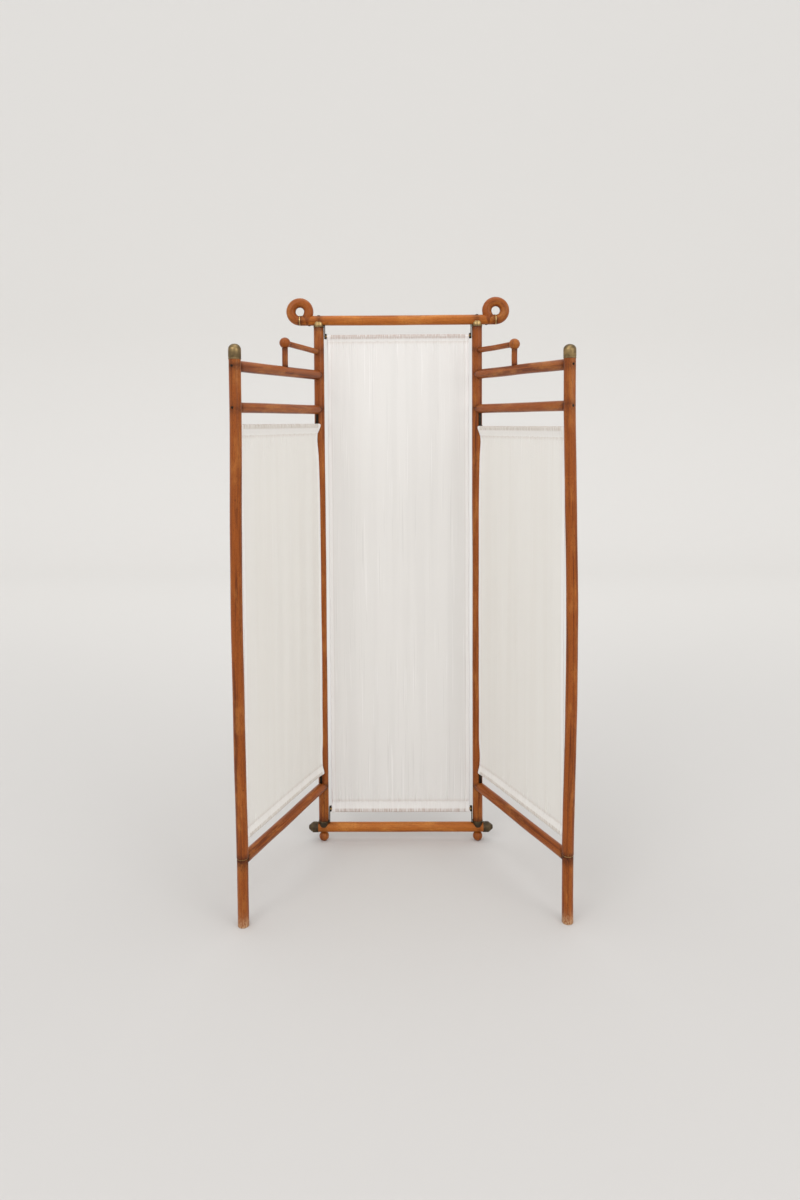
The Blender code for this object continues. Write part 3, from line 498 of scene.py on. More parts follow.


# pocket is the colour of the painted shade over the rods
def cloth_finish(name, cloth, slub, pocket, slub_amount):
    def values(nodes):
        return {"Thread": nodes.attribute("thread")["Vector"], "Cloth": cloth, "Slub": slub,
                "Pocket": pocket, "Amount": slub_amount, "Hem": nodes.attribute("hem_and_ridge_highlight")["Fac"],
                "Rod": nodes.attribute("rod")["Fac"], "Seam": nodes.attribute("seam")["Fac"]}

    return new_finish(name, PLAIN_WEAVE, values, WEAVE_DEPTH, Sheen_Weight=0.12, Sheen_Roughness=0.5,
                      Specular_IOR_Level=0.2)


WOOD_FIGURE = build_wood_figure()
OLD_METAL = build_old_metal()
PLAIN_WEAVE = build_plain_weave()
RED_BEECH = wood_finish("red_stained_beech", tone(188, 118, 54), tone(156, 82, 28), tone(98, 44, 12))
GOLD_BEECH = wood_finish("golden_stained_beech", tone(214, 142, 66), tone(184, 106, 38), tone(122, 60, 16))
BRASS = metal_finish("aged_brass_polish", tone(226, 190, 128), tone(150, 118, 70))
DULL_BRASS = metal_finish("dull_cap_brass", tone(206, 174, 118), tone(104, 88, 64))
BRONZE = metal_finish("dark_bronze_patina", tone(128, 108, 76), tone(74, 64, 52))
IRON = metal_finish("blackened_iron", tone(96, 84, 70), tone(48, 40, 33))
# each cotton's third colour is the painted shade over its rods
COTTON = cloth_finish("off_white_cotton", tone(229, 227, 224), tone(220, 218, 215),
                      tone(196, 181, 173), 0.8)
CALM_COTTON = cloth_finish("off_white_wing_cotton", tone(232, 230, 225), tone(228, 225, 219),
                           tone(204, 195, 186), 0.30)


# ---- rods
def flat_end(lateral, radial):
    """A square-cut end."""
    return np.zeros_like(lateral)


def round_a_post(radius):
    """An end hollowed to sit against a cylinder square to the rod."""
    return lambda lateral, radial: np.sqrt(radius ** 2 - lateral ** 2) + SEAT_GAP


def round_a_ball(radius):
    """An end hollowed to sit against a ball."""
    return lambda lateral, radial: np.sqrt(radius ** 2 - radial ** 2) + SEAT_GAP


CAP_SHARES = np.array([0.30, 0.60, 0.82, 0.90, 0.94, 0.97, 0.99])


def softened(radial, radius):
    """How far the end's surface falls back inside its rounded edge."""
    into = np.clip((radial - (radius - END_ROUNDING)) / END_ROUNDING, 0.0, 1.0)
    return END_ROUNDING * (1 - np.sqrt(1 - into ** 2))


def rod(node, panel, start, end, radius, seats, finish, seed, joints=(), bow=None, unevenness=1.0,
        wear=None, grime=None):
    """A natural round rod from start to end, points in the panel's (s, t, z).

    Each ring's point is the centre line + radius (cos a across + sin a third direction).  The
    centre line leaves the straight by a small seeded wave, and by bow(distance) along t.
    The rings at the ends shrink to a pole over the shape that seats give them.  joints are the
    distances of the dark rings of dirt; wear and grime give more marks by the distance.
    """
    start, end = np.array(start, float), np.array(end, float)
    length = np.linalg.norm(end - start)
    way = (end - start) / length
    side = np.array([0.0, 1.0, 0.0])
    third = np.cross(way, side)
    angle = np.linspace(0, 2 * np.pi, RING_POINTS, endpoint=False)
    rows = max(LEAST_ROWS, int(length / ROW_LENGTH))
    share = np.linspace(0, 1, rows)
    # shares of the radius and of the length for the cap rows, the body rows and the other cap
    fullness = np.concatenate([CAP_SHARES, np.ones(rows), CAP_SHARES[::-1]])[:, None]
    run = np.concatenate([np.zeros(len(CAP_SHARES)), share, np.ones(len(CAP_SHARES))])[:, None]
    oval = 1 + ROD_OVAL * unevenness * np.cos(2 * angle + seed)[None, :]
    swell = 1 + ROD_SWELL * unevenness * wander(run * length, SWELL_WAVE, seed)
    girth = radius * swell * oval
    lateral = np.minimum(fullness * girth * np.abs(np.cos(angle)), POST_RADIUS - SIDE_LIMIT)
    radial = fullness * girth
    low = seats[0](lateral, radial) + softened(radial, girth)
    high = length - seats[1](lateral, radial) - softened(radial, girth)
    distance = low + (high - low) * run
    sway = ROD_SWAY * unevenness * np.sin(np.pi * run) ** 2
    aside = sway * wander(run * length, SWAY_WAVES[0], seed + 50)
    if bow:
        aside = aside + bow(distance)
    lift = sway * wander(run * length, SWAY_WAVES[1], seed + 90)
    across = radial * np.cos(angle) + aside
    along_third = radial * np.sin(angle) + lift
    local = (start + distance[..., None] * way + across[..., None] * side
             + along_third[..., None] * third)
    grid = panel.world(local[..., 0], local[..., 1], local[..., 2])
    grain = np.stack([distance + 1.7 * seed, radial * np.cos(angle), radial * np.sin(angle)], axis=-1)
    dirt = sum(depth * bump_at(distance, at, width) for at in joints for depth, width in JOINT_DIRT)
    if grime:
        dirt = dirt + grime(distance)
    dirt = np.clip(dirt + np.zeros_like(distance), 0, 1)
    worn = np.zeros_like(distance) if wear is None else wear(distance)
    piece = closed_tube(f"fine_{node}", grid, {"grain": grain, "dirt": dirt, "wear": worn}, finish)
    place(piece, panel.body, node)


# ---- turned pieces
def turned(name, panel, at, axis, profile, finish, node, seed=0, seat=None, columns=RING_POINTS,
           rub_and_highlight=None, dirt=0.0):
    """Carries a profile of (radius, height) round an axis: at + height axis + radius ring.

    seat, if given, is (axis height, radius, below) of a rod along the panel that the piece
    touches: heights are kept under that rod's surface where below is true, and else over it.
    The rub function of the height says how far the metal is brightened: by hands' wear, and on the saddles
    and post caps by a painted highlight.
    """
    axes = {"up": (panel.along, panel.across, panel.up),
            "along": (panel.across, panel.up, panel.along),
            "back": (panel.up, panel.across, -panel.along)}
    side, other, way = axes[axis]
    centre = panel.world(*at)
    profile = np.array(profile, float)
    angle = np.linspace(0, 2 * np.pi, columns, endpoint=False)
    radius = profile[:, 0][:, None] + np.zeros(columns)
    height = profile[:, 1][:, None] + np.zeros(columns)
    if seat:
        rail_height, rail_radius, below = seat
        aside = radius * np.sin(angle)
        least = (LEAST_REACH * rail_radius) ** 2
        reach = np.sqrt(np.maximum(rail_radius ** 2 - aside ** 2, least))
        if below:
            height = np.minimum(height, rail_height - reach - SEAT_GAP)
        else:
            height = np.maximum(height, rail_height + reach + SEAT_GAP)
    ring = np.cos(angle)[:, None] * side + np.sin(angle)[:, None] * other
    grid = centre + height[..., None] * way + radius[..., None] * ring[None]
    grain = [height + 0.9 * seed, radius * np.cos(angle), radius * np.sin(angle)]
    values = {"grain": np.stack(grain, axis=-1),
              "dirt": np.full(radius.shape, dirt), "wear": np.zeros(radius.shape),
              "rub_and_highlight": np.zeros(radius.shape) if rub_and_highlight is None else rub_and_highlight(height)}
    piece = closed_tube(name, grid, values, finish)
    place(piece, panel.body, node)


def rounded(points, radius, steps=4):
    """Rounds every corner of a profile but its ends: each becomes a quadratic curve."""
    points = [np.array(p, float) for p in points]
    out = [points[0]]
    for before, corner, after in zip(points, points[1:], points[2:]):
        back = before - corner
        ahead = after - corner
        cut = min(radius, 0.45 * np.linalg.norm(back), 0.45 * np.linalg.norm(ahead))
        first = corner + back / np.linalg.norm(back) * cut
        last = corner + ahead / np.linalg.norm(ahead) * cut
        for share in np.linspace(0, 1, steps + 1):
            out.append((1 - share) ** 2 * first + 2 * share * (1 - share) * corner + share ** 2 * last)
    out.append(points[-1])
    return out


def arc_profile(radius, height, first, last, steps):
    """Points on a circle about (0, height), angles in degrees above the radial direction."""
    angle = np.radians(np.linspace(first, last, steps))
    return [(radius * math.cos(a), height + radius * math.sin(a)) for a in angle]


# ---- screws
def screw_head(name, panel, at, axis, radius=SCREW_HEAD_RADIUS, nodes=(), turn=0.4):
    """A domed slotted head: chords across a disc, raised to a dome and let down in the slot.

    The top and the flat foot share their rim; at is the middle of the foot.
    """
    slot = SLOT_SHARE * radius
    edges = np.array([-1, -0.93, -0.8, -0.6, -0.4, -0.22, -SLOT_SHARE - 0.01, -SLOT_SHARE])
    chord = np.concatenate([edges, [0.0], -edges[::-1]]) * radius
    share = np.linspace(-1, 1, 17)
    x = chord[:, None] + np.zeros(len(share))
    y = np.sqrt(np.maximum(radius ** 2 - chord ** 2, 0.0))[:, None] * share
    inside = 1 - (x ** 2 + y ** 2) / radius ** 2
    dome = SCREW_HEAD_HEIGHT * (radius / SCREW_HEAD_RADIUS) * np.sqrt(np.maximum(inside, 0.0))
    cut = np.where(np.abs(x) <= slot * 1.001, SLOT_FLOOR, 1.0)
    top = dome * (1 - (1 - cut) * np.clip(inside * 6, 0, 1))
    rows, columns = x.shape
    cos_turn, sin_turn = math.cos(turn), math.sin(turn)
    flat_x = (x * cos_turn - y * sin_turn)[..., None]
    flat_y = (x * sin_turn + y * cos_turn)[..., None]
    axes = {"up": (panel.along, panel.across, panel.up),
            "down": (panel.across, panel.along, -panel.up),
            "along": (panel.across, panel.up, panel.along)}
    side, other, way = axes[axis]
    centre = panel.world(*at)
    layers = [centre + flat_x * side + flat_y * other + height[..., None] * way
              for height in (top, np.zeros_like(top))]
    points = np.concatenate([layer.reshape(-1, 3) for layer in layers])
    faces = sheet_faces(rows, columns)
    faces = np.concatenate([faces[:, ::-1], faces + rows * columns])
    # the rim is one ring of points, shared by the dome and the foot
    _, kept, number = np.unique(np.round(points / RIM_WELD).astype(np.int64), axis=0, return_index=True,
                                return_inverse=True)
    piece = write_mesh(name, points[kept], number.reshape(-1)[faces], {}, IRON)
    place(piece, panel.body, *nodes)


# ---- centre panel
TOP = middle("top_rail")
TOP_RAIL_RADIUS = half_height("top_rail")
BOTTOM = middle("bottom_rail")
BOTTOM_RAIL_RADIUS = half_height("bottom_rail")
HALF = POST_SPACING / 2


def build_centre_rails():
    """The top and bottom rails, with dirt by the posts and by the top rail's ends."""
    for node, z, radius, seed in (("top_rail", TOP.z, TOP_RAIL_RADIUS, 3),
                                  ("bottom_rail", BOTTOM.z, BOTTOM_RAIL_RADIUS, 8)):
        half = half_width(node)
        joints = [half - HALF, half + HALF]
        if node == "top_rail":
            joints += [0.0, 2 * half]
        rod(node, CENTRE, (-half, 0, z), (half, 0, z), radius, (flat_end, flat_end), GOLD_BEECH,
            seed=seed, joints=joints, unevenness=0.7)


def build_scroll(side_name, side, seed):
    """The rail's end bent into a ring: a circle's centre line, from beside the band right round
    until its tail runs out on the rail.  Points that would be inside the rail are moved out to
    the rail's surface.
    """
    low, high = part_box(f"scroll_{side_name}")
    band = middle(f"scroll_band_{side_name}")
    band_half = half_width(f"scroll_band_{side_name}")
    rod_radius = (high.y - low.y) / 2
    ring_radius = (high.z - TOP.z - rod_radius) / 2
    foot = abs(band.x - TOP.x)
    first = math.asin((band_half + SEAT_GAP) / ring_radius)
    turn = first + (SCROLL_TAIL_TURN - first) * np.linspace(0, 1, SCROLL_ROWS)
    caps = np.array([0.35, 0.7, 0.9])
    turn = np.concatenate([np.full(len(caps), first), turn, np.full(len(caps), SCROLL_TAIL_TURN)])
    turn = turn[:, None]
    fullness = np.concatenate([caps, np.ones(SCROLL_ROWS), caps[::-1]])[:, None]
    angle = np.linspace(0, 2 * np.pi, RING_POINTS, endpoint=False)[None, :]
    tail = 1 - TAIL_THINNING * ease((turn - TAIL_THINS_FROM) / TAIL_THINS_OVER)
    radial = fullness * rod_radius * 0.995 * tail * (1 + 0.006 * wander(turn, 1.6, seed))
    from_centre = ring_radius - radial * np.cos(angle)
    # turn runs from the lowest point towards the outside, over the top and back down
    outwards = foot + from_centre * np.sin(turn)
    height = TOP.z + ring_radius - from_centre * np.cos(turn)
    depth = radial * np.sin(angle)
    over_rail = outwards < foot + band_half
    rise = height - TOP.z
    gap = np.maximum(np.hypot(depth, rise), 1e-6)
    keep = TOP_RAIL_RADIUS + SEAT_GAP
    push = np.where(over_rail & (gap < keep), keep / gap, 1.0)
    height = TOP.z + rise * push
    depth = depth * push
    grid = CENTRE.world(side * outwards, depth, height)
    distance = ring_radius * turn + 0 * depth + 2.3 * seed
    grain = np.stack([distance, radial * np.cos(angle), radial * np.sin(angle)], axis=-1)
    # darker by the band and by the tail's end, where the joints gather dirt, and on the inside of the ring
    dirt = 0.8 * bump_at(turn, first, 0.12) + 0.5 * bump_at(turn, SCROLL_TAIL_TURN, 0.30) + 0 * depth
    dirt = np.clip(dirt + 0.35 * np.clip(np.cos(angle), 0, 1) ** 4, 0, 1)
    piece = closed_tube(f"fine_scroll_{side_name}", grid,
                        {"grain": grain, "dirt": dirt, "wear": np.zeros_like(dirt)}, RED_BEECH)
    place(piece, CENTRE.body, f"scroll_{side_name}")


def build_band(side_name, side):
    """A thin brass ferrule with a rounded edge between the rail and its scroll."""
    node = f"scroll_band_{side_name}"
    half = half_width(node)
    radius = half_height(node) + BAND_PROUD
    profile = rounded([(0.0, half), (radius, half), (radius, -half), (0.0, -half)], 0.0008)
    at = (side * abs(middle(node).x - TOP.x), 0, TOP.z)
    turned(f"fine_band_{side_name}", CENTRE, at, "along", profile, BRASS, node,
           rub_and_highlight=lambda height: np.full(height.shape, 0.8))


def build_saddle(side_name, side):
    """A flared brass seat: a short cone that opens into a cup under the rail."""
    node = f"top_pivot_saddle_{side_name}"
    low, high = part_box(node)
    wide = (high.x - low.x) / 2
    neck = POST_RADIUS + 0.0004
    cup = [(0.0, high.z), (0.72 * wide, high.z), (wide - 0.0016, high.z), (wide, high.z - 0.0004),
           (wide, high.z - 0.0040), (wide - 0.0004, high.z - 0.0060)]
    cone = [(neck + 0.0003, low.z + 0.0055), (neck, low.z + 0.0030), (neck + 0.0006, low.z + 0.0022),
            (neck + 0.0006, low.z + 0.0006), (neck, low.z), (0.0, low.z)]
    turned(f"fine_saddle_{side_name}", CENTRE, (side * HALF, 0, 0), "up", rounded(cup + cone, 0.0009, 3),
           DULL_BRASS, node, seat=(TOP.z, TOP_RAIL_RADIUS, True),
           # painted highlight: a bright band near the top of the cup
           rub_and_highlight=lambda height: 0.9 * bump_at(height, high.z - 0.006, 0.006))


def build_collar(side_name, side):
    """A dark ring with a rounded lip, hollowed to sit on the bottom rail."""
    node = f"bottom_pivot_collar_{side_name}"
    low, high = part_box(node)
    wide = (high.x - low.x) / 2
    lip = [(0.0, high.z), (wide - 0.0008, high.z), (wide, high.z - 0.0008), (wide, high.z - 0.0026)]
    ring = [(wide - 0.0006, high.z - 0.0034), (wide - 0.0006, low.z + 0.0010), (wide - 0.0014, low.z),
            (0.0, low.z)]
    turned(f"fine_collar_{side_name}", CENTRE, (side * HALF, 0, 0), "up", rounded(lip + ring, 0.0006, 3),
           BRONZE, node, seat=(BOTTOM.z, BOTTOM_RAIL_RADIUS, False),
           rub_and_highlight=lambda height: 0.6 * bump_at(height, high.z, 0.0012))


def build_ball_foot(side_name, side, seed):
    """A turned ball with a small flat to stand on, hollowed to sit under the bottom rail."""
    node = f"ball_foot_{side_name}"
    low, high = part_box(node)
    radius = (high.x - low.x) / 2
    centre_height = math.sqrt(radius ** 2 - (FOOT_FLAT_SHARE * radius) ** 2)
    below = math.degrees(math.asin(-centre_height / radius))
    profile = [(0.0, centre_height + radius), *arc_profile(radius, centre_height, 86, below, 26), (0.0, 0.0)]
    turned(f"fine_{node}", CENTRE, (side * HALF, 0, 0), "up", profile, RED_BEECH, node, seed=seed,
           seat=(BOTTOM.z, BOTTOM_RAIL_RADIUS, True), dirt=0.12)


def build_rail_cap(side_name, side):
    """A straight sleeve with a lip, then a cone with a blunt round tip."""
    node = f"rail_cap_{side_name}"
    low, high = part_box(node)
    radius = half_height(node)
    length = high.x - low.x
    nose = RAIL_CAP_NOSE_SHARE * length
    cone = [(0.0, length), (0.34 * radius, length), (radius, length - nose), (radius, 0.0062)]
    lip = [(radius, 0.0062), (radius - 0.0006, 0.0050), (radius - 0.0006, 0.0040),
           (radius, 0.0030), (radius, 0.0), (0.0, 0.0)]
    profile = rounded(cone, 0.0030, 6) + rounded(lip, 0.0006, 3)
    inner = abs((low.x if side > 0 else high.x) - TOP.x)
    axis = "along" if side > 0 else "back"
    turned(f"fine_{node}", CENTRE, (side * inner, 0, BOTTOM.z), axis, profile, BRONZE, node,
           rub_and_highlight=lambda height: 0.45 * bump_at(height, length - 0.7 * nose, 0.005))


def build_centre_screws(side_name, side):
    """The pivot screw's head on top of the rail, and the head of the scroll's tie screw under it."""
    rail_top = TOP.z + TOP_RAIL_RADIUS - HEAD_SINK
    rail_foot = TOP.z - TOP_RAIL_RADIUS + HEAD_SINK
    pivot = f"top_pivot_screw_{side_name}"
    tie = f"scroll_screw_{side_name}"
    screw_head(f"fine_{pivot}", CENTRE, (side * HALF, 0, rail_top), "up", radius=half_width(pivot),
               nodes=[pivot], turn=0.9)
    screw_head(f"fine_{tie}", CENTRE, (middle(tie).x - TOP.x, 0, rail_foot), "down",
               radius=half_width(tie), nodes=[tie], turn=0.3)


def build_bracket(node, panel):
    """A forged bracket: the plain one with its triangles merged and its edges rounded."""
    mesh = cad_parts[node].data.copy()
    mesh.name = f"fine_{node}"
    shape = bmesh.new()
    shape.from_mesh(mesh)
    bmesh.ops.remove_doubles(shape, verts=shape.verts, dist=BRACKET_WELD)
    bmesh.ops.dissolve_limit(shape, angle_limit=BRACKET_FLAT, verts=shape.verts, edges=shape.edges)
    shape.to_mesh(mesh)
    shape.free()
    mesh.materials.clear()
    mesh.materials.append(IRON)
    piece = bpy.data.objects.new(f"fine_{node}", mesh)
    bpy.context.scene.collection.objects.link(piece)
    edge = piece.modifiers.new("rounding", "BEVEL")
    edge.width = BRACKET_EDGE
    edge.segments = 3
    edge.limit_method = "ANGLE"
    mesh.shade_smooth()
    place(piece, panel.body, node)


# ---- wings
def build_wing_frame(side_name, panel, width, seed):
    """Posts, rails, leg, cap, brace and the small screws of one wing."""
    top_z, top_r = height_and_radius(f"{side_name}_top_rail")
    second_z, second_r = height_and_radius(f"{side_name}_second_rail")
    foot_z, foot_r = height_and_radius(f"{side_name}_bottom_rail")
    arm_z = middle(f"{side_name}_strut_arm").z
    arm_r = half_width(f"{side_name}_strut_stem")
    ball = middle(f"{side_name}_strut_ball")
    arm_foot_z = ball.z - 2 * (ball.z - arm_z)
    ball_r = half_height(f"{side_name}_strut_ball")
    ball_s = float(np.dot(np.array(ball) - panel.origin, panel.along))

    def wing_rod(label, start, end, radius, seats, number, joints, **more):
        rod(f"{side_name}_{label}", panel, start, end, radius, seats, RED_BEECH, seed + number, joints,
            **more)

    flat = (flat_end, flat_end)
    low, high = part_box(f"{side_name}_hinge_post")
    joints = [z - low.z for z in (low.z, foot_z, second_z, top_z, arm_foot_z, high.z)]
    wing_rod("hinge_post", (0, 0, low.z), (0, 0, high.z), POST_RADIUS, flat, 0, joints, unevenness=0.7)

    low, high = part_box(f"{side_name}_outer_post")
    reach = max(0.0, (high.x - low.x) - 2 * POST_RADIUS) / abs(panel.across[0])
    leg_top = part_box(f"{side_name}_leg")[1].z

    def bow(distance):
        share = np.clip((distance + low.z - leg_top) / (second_z - leg_top), 0, 1)
        return -panel.inside * reach * np.sin(np.pi * share) ** BOW_SHAPE

    joints = [z - low.z for z in (low.z, second_z, top_z)]
    wing_rod("outer_post", (width, 0, low.z), (width, 0, high.z), POST_RADIUS, flat, 1, joints, bow=bow,
             unevenness=0.8)

    low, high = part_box(f"{side_name}_leg")
    wing_rod("leg", (width, 0, low.z), (width, 0, high.z), half_width(f"{side_name}_leg"), flat, 2,
             [high.z - low.z], unevenness=0.5,
             wear=lambda distance: 0.85 * bump_at(distance, 0.0, 0.022),
             grime=lambda distance: 0.55 * bump_at(distance, high.z - 0.010, 0.012))

    seat = round_a_post(POST_RADIUS)
    inset = 0.6 * POST_RADIUS
    rails = (("top_rail", top_z, top_r), ("second_rail", second_z, second_r),
             ("bottom_rail", foot_z, foot_r))
    for number, (label, z, radius) in enumerate(rails, 3):
        wing_rod(label, (0, 0, z), (width, 0, z), radius, (seat, seat), number, [inset, width - inset])

    ball_seat = round_a_ball(ball_r)
    wing_rod("strut_arm", (0, 0, arm_foot_z), (ball_s, 0, ball.z), arm_r, (seat, ball_seat), 6,
             [POST_RADIUS, ball_s - ball_r])
    wing_rod("strut_stem", (ball_s, 0, top_z), (ball_s, 0, ball.z), arm_r,
             (round_a_post(top_r), ball_seat), 7, [top_r, ball.z - top_z - ball_r], unevenness=0.5)
    profile = [(0.0, ball_r), *arc_profile(ball_r, 0.0, 86, -86, 30), (0.0, -ball_r)]
    turned(f"fine_{side_name}_strut_ball", panel, (ball_s, 0, ball.z), "up", profile, RED_BEECH,
           f"{side_name}_strut_ball", seed=seed + 8, dirt=0.05)

    low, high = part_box(f"{side_name}_post_cap")
    cap_r = (high.x - low.x) / 2
    tall = high.z - low.z
    dome = POST_CAP_DOME_SHARE * tall
    angle = np.radians(np.linspace(90, 4, 16))[1:]
    crown = [(cap_r * math.cos(a) ** 0.9, high.z - dome + dome * math.sin(a)) for a in angle]
    inner_r = cap_r - 0.0010
    lip = [(cap_r, low.z + 0.0050), (cap_r - 0.0004, low.z + 0.0042), (cap_r - 0.0004, low.z + 0.0030),
           (cap_r, low.z + 0.0022), (cap_r, low.z), (inner_r, low.z)]
    profile = [(0.0, high.z), *crown, *rounded(lip, 0.0005, 3), (inner_r, high.z - dome),
               (0.0, high.z - 0.0012)]
    turned(f"fine_{side_name}_post_cap", panel, (width, 0, 0), "up", profile, DULL_BRASS,
           # painted highlight: a bright band on the cap's lower middle, under the dome
           f"{side_name}_post_cap", rub_and_highlight=lambda height: 0.5 * bump_at(height, high.z - 0.55 * tall, 0.007))

    for label, z in (("top", top_z), ("second", second_z)):
        at = (width + POST_RADIUS - HEAD_SINK, 0, z)
        screw_head(f"fine_{side_name}_{label}_rail_screw", panel, at, "along", turn=0.5 + z)


# ---- cloth
def pocket_path(rod_low, rod_high, rod_radius, pockets, slack):
    """The cloth's way in a slice square to its rods: its points (t, z), the distance along it at
    each point, and the heights of the lower and the upper pocket's seams.

    It starts at the lower pocket's seam behind the cloth, goes down behind the rod, round under
    it, up the front, straight to the upper pocket, over its rod and down behind to that seam.
    """
    casing = rod_radius + CASING_GAP
    turn_low = rod_low - slack
    seam_low = turn_low - casing + pockets[0]
    seam_high = rod_high + casing - pockets[1]

    def front(turn, seam):
        z = np.linspace(turn, seam, 13)
        return z, -casing * (1 - ease((z - turn) / (seam - turn)))

    opening = LAYER_GAP + (casing - LAYER_GAP) * ease(np.linspace(0, 1, 9))
    around = np.linspace(0, np.pi, 11)[1:-1]
    field = np.linspace(seam_low, seam_high, int((seam_high - seam_low) / FIELD_ROW))[1:-1]
    low_z, low_t = front(turn_low, seam_low)
    high_z, high_t = front(rod_high, seam_high)
    stretches = [(opening, np.linspace(seam_low, turn_low, 9)),
                 (casing * np.cos(around), turn_low - casing * np.sin(around)),
                 (low_t, low_z),
                 (np.zeros_like(field), field),
                 (high_t[::-1], high_z[::-1]),
                 (-casing * np.cos(around), rod_high + casing * np.sin(around)),
                 (opening[::-1], np.linspace(rod_high, seam_high, 9))]
    path = np.concatenate([np.stack(stretch, axis=1) for stretch in stretches])
    steps = np.linalg.norm(np.diff(path, axis=0), axis=1)
    return path, np.concatenate([[0], np.cumsum(steps)]), seam_low, seam_high


def build_cloth(name, panel, node, rods, edges, pockets, slack, front, bulge, seed, finish):
    """A panel of thin cloth with a rod pocket along its top and bottom.

    A point's s is a share of the way between the two edge curves of its height; its t is the
    pocket path's t, plus the edges' bulge, slow billows, and fine gathers that fade away from
    each seam.  front is the sign of t on the side that the pockets' folded layer is not on.
    """
    rod_low, rod_high = (middle(node).z for node in rods)
    path, distance, seam_low, seam_high = pocket_path(rod_low, rod_high, half_height(rods[0]), pockets,
                                                      slack)
    z = path[:, 1][:, None]
    share = np.linspace(0, 1, CLOTH_COLUMNS)[None, :]
    share = share - HEM_CROWDING * np.sin(2 * np.pi * share)
    start, end = (edge(z) for edge in edges)
    s = start + (end - start) * share
    upper = z > (seam_low + seam_high) / 2
    in_pocket = (z > seam_high) | (z < seam_low)
    arch = np.sin(np.pi * np.clip((z - seam_low) / (seam_high - seam_low), 0, 1))
    from_seam = np.minimum(np.abs(z - seam_low), np.abs(z - seam_high))
    from_edge = np.minimum(s - start, end - s)

    gathers = np.where(upper, waves(s, UPPER_GATHERS, seed), waves(s, LOWER_GATHERS, seed + 2))
    fade = np.where(in_pocket, 0.45 * np.exp(-from_seam / POCKET_FADE) + 0.18,
                    np.exp(-from_seam / GATHER_FADE))
    billow = waves(s, [BROAD_BILLOW], seed + 4) * arch
    billow = billow + waves(s, [NARROW_BILLOW], seed + 5) * np.exp(-from_seam / 0.22) * arch ** 0.5
    ridge = SEAM_RIDGE * bump_at(from_seam, 0.0022, 0.0016) * ~in_pocket
    ridge = ridge + HEM_RIDGE * bump_at(from_edge, HEM_WIDTH, 0.0014)
    t = front * (bulge(s, z, start) + gathers * fade + billow + ridge - path[:, 0][:, None])
    lift = waves(s, [EDGE_LIFT], seed + 6) * np.exp(-from_seam / 0.006) * np.where(in_pocket, 0.35, 1)
    grid = panel.world(s, t, z + lift)

    # what the weave shows: the thread's place, painted shade over a rod, and the paler hems and pockets,
    # with a painted highlight beside each seam
    thread = np.stack([s + 0.31 * seed, distance[:, None] + 0 * s, 0 * s], axis=-1)
    # painted shade over the rods, for their shadow and their show-through, and a little just past each seam;
    # less by the side hems
    upper_rod_shade = ease((0.0088 - np.abs(z - rod_high + 0.001)) / 0.004)
    lower_rod_shade = 0.10 + 0.90 * ease((0.0080 - np.abs(z - rod_low + slack - 0.001)) / 0.003)
    rod_shade = np.where(in_pocket, np.where(upper, upper_rod_shade, lower_rod_shade), 0.15 * np.exp(-from_seam / 0.004))
    rod_shade = rod_shade * (1 - 0.80 * ease((HEM_WIDTH - from_edge) / 0.004))
    # paler cloth: the side hems and the pockets away from the rods are doubled cloth; the strip just past
    # each seam is a painted highlight on its ridge
    hem_and_ridge_highlight = np.maximum(ease((HEM_WIDTH - from_edge) / 0.002), bump_at(from_seam, 0.0035, 0.0032) * ~in_pocket)
    hem_and_ridge_highlight = np.maximum(hem_and_ridge_highlight, 0.6 * (1 - rod_shade) * in_pocket)
    seam = np.maximum(bump_at(from_seam, 0.0, 0.0010), 0.5 * bump_at(from_edge, HEM_WIDTH, 0.0008))
    values = {"thread": thread.reshape(-1, 3), "rod": rod_shade.ravel(), "hem_and_ridge_highlight": hem_and_ridge_highlight.ravel(),
              "seam": seam.ravel()}
    cloth = write_mesh(name, grid.reshape(-1, 3), sheet_faces(*s.shape), values, finish)
    body = cloth.modifiers.new("thickness", "SOLIDIFY")
    body.thickness = CLOTH_THICKNESS
    body.offset = 0.0
    body.use_even_offset = False
    place(cloth, panel.body, node)


def build_centre_cloth():
    """The centre cloth lies flat between its rods; its edges waver a little."""
    low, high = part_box("centre_cloth")

    def edge(x, sign, seed):
        return lambda z: x - TOP.x + sign * 0.0006 * (1 + wander(z, 0.35, seed))

    build_cloth("fine_centre_cloth", CENTRE, "centre_cloth", ("centre_bottom_rod", "centre_top_rod"),
                (edge(low.x, 1, 21), edge(high.x, -1, 22)), CENTRE_POCKETS, CENTRE_SLACK, -1,
                lambda s, z, start: 0.0, 30, COTTON)


def build_wing_cloth(side_name, panel, width, inner_edge, seed):
    """A wing's cloth: by the hinge post its edge stands a little into the screen's opening.

    The edge curve is drawn back below the upper pocket, then eases out down the side; a short
    dip stands above the lower pocket, where the side is loose.
    """
    rods = (f"{side_name}_bottom_rod", f"{side_name}_top_rod")
    low_z, high_z = (middle(node).z for node in rods)
    near, proud = inner_edge

    def inner(z):
        below = high_z - z
        dip = 0.0085 * ease((below + 0.005) / 0.050) * np.exp(-np.maximum(below - 0.045, 0) / 0.140)
        dip = dip + 0.0040 * bump_at(z, low_z + 0.055, 0.030)
        return near + dip + 0.0005 * wander(z, 0.30, seed + 7)

    def outer(z):
        arch = np.sin(np.pi * (z - low_z) / (high_z - low_z))
        return width - POST_RADIUS - 0.0024 - 0.0022 * arch ** 2

    def bulge(s, z, start):
        arch = np.sin(np.pi * np.clip((z - low_z) / (high_z - low_z), 0, 1))
        fuller = 1 - 0.45 * bump_at(z, high_z - 0.045, 0.030)
        return proud * np.exp(-(s - start) / 0.040) * fuller + 0.002 * arch * (s / width)

    build_cloth(f"fine_{side_name}_cloth", panel, f"{side_name}_cloth", rods, (inner, outer),
                WING_POCKETS, WING_SLACK, panel.inside, bulge, seed, CALM_COTTON)


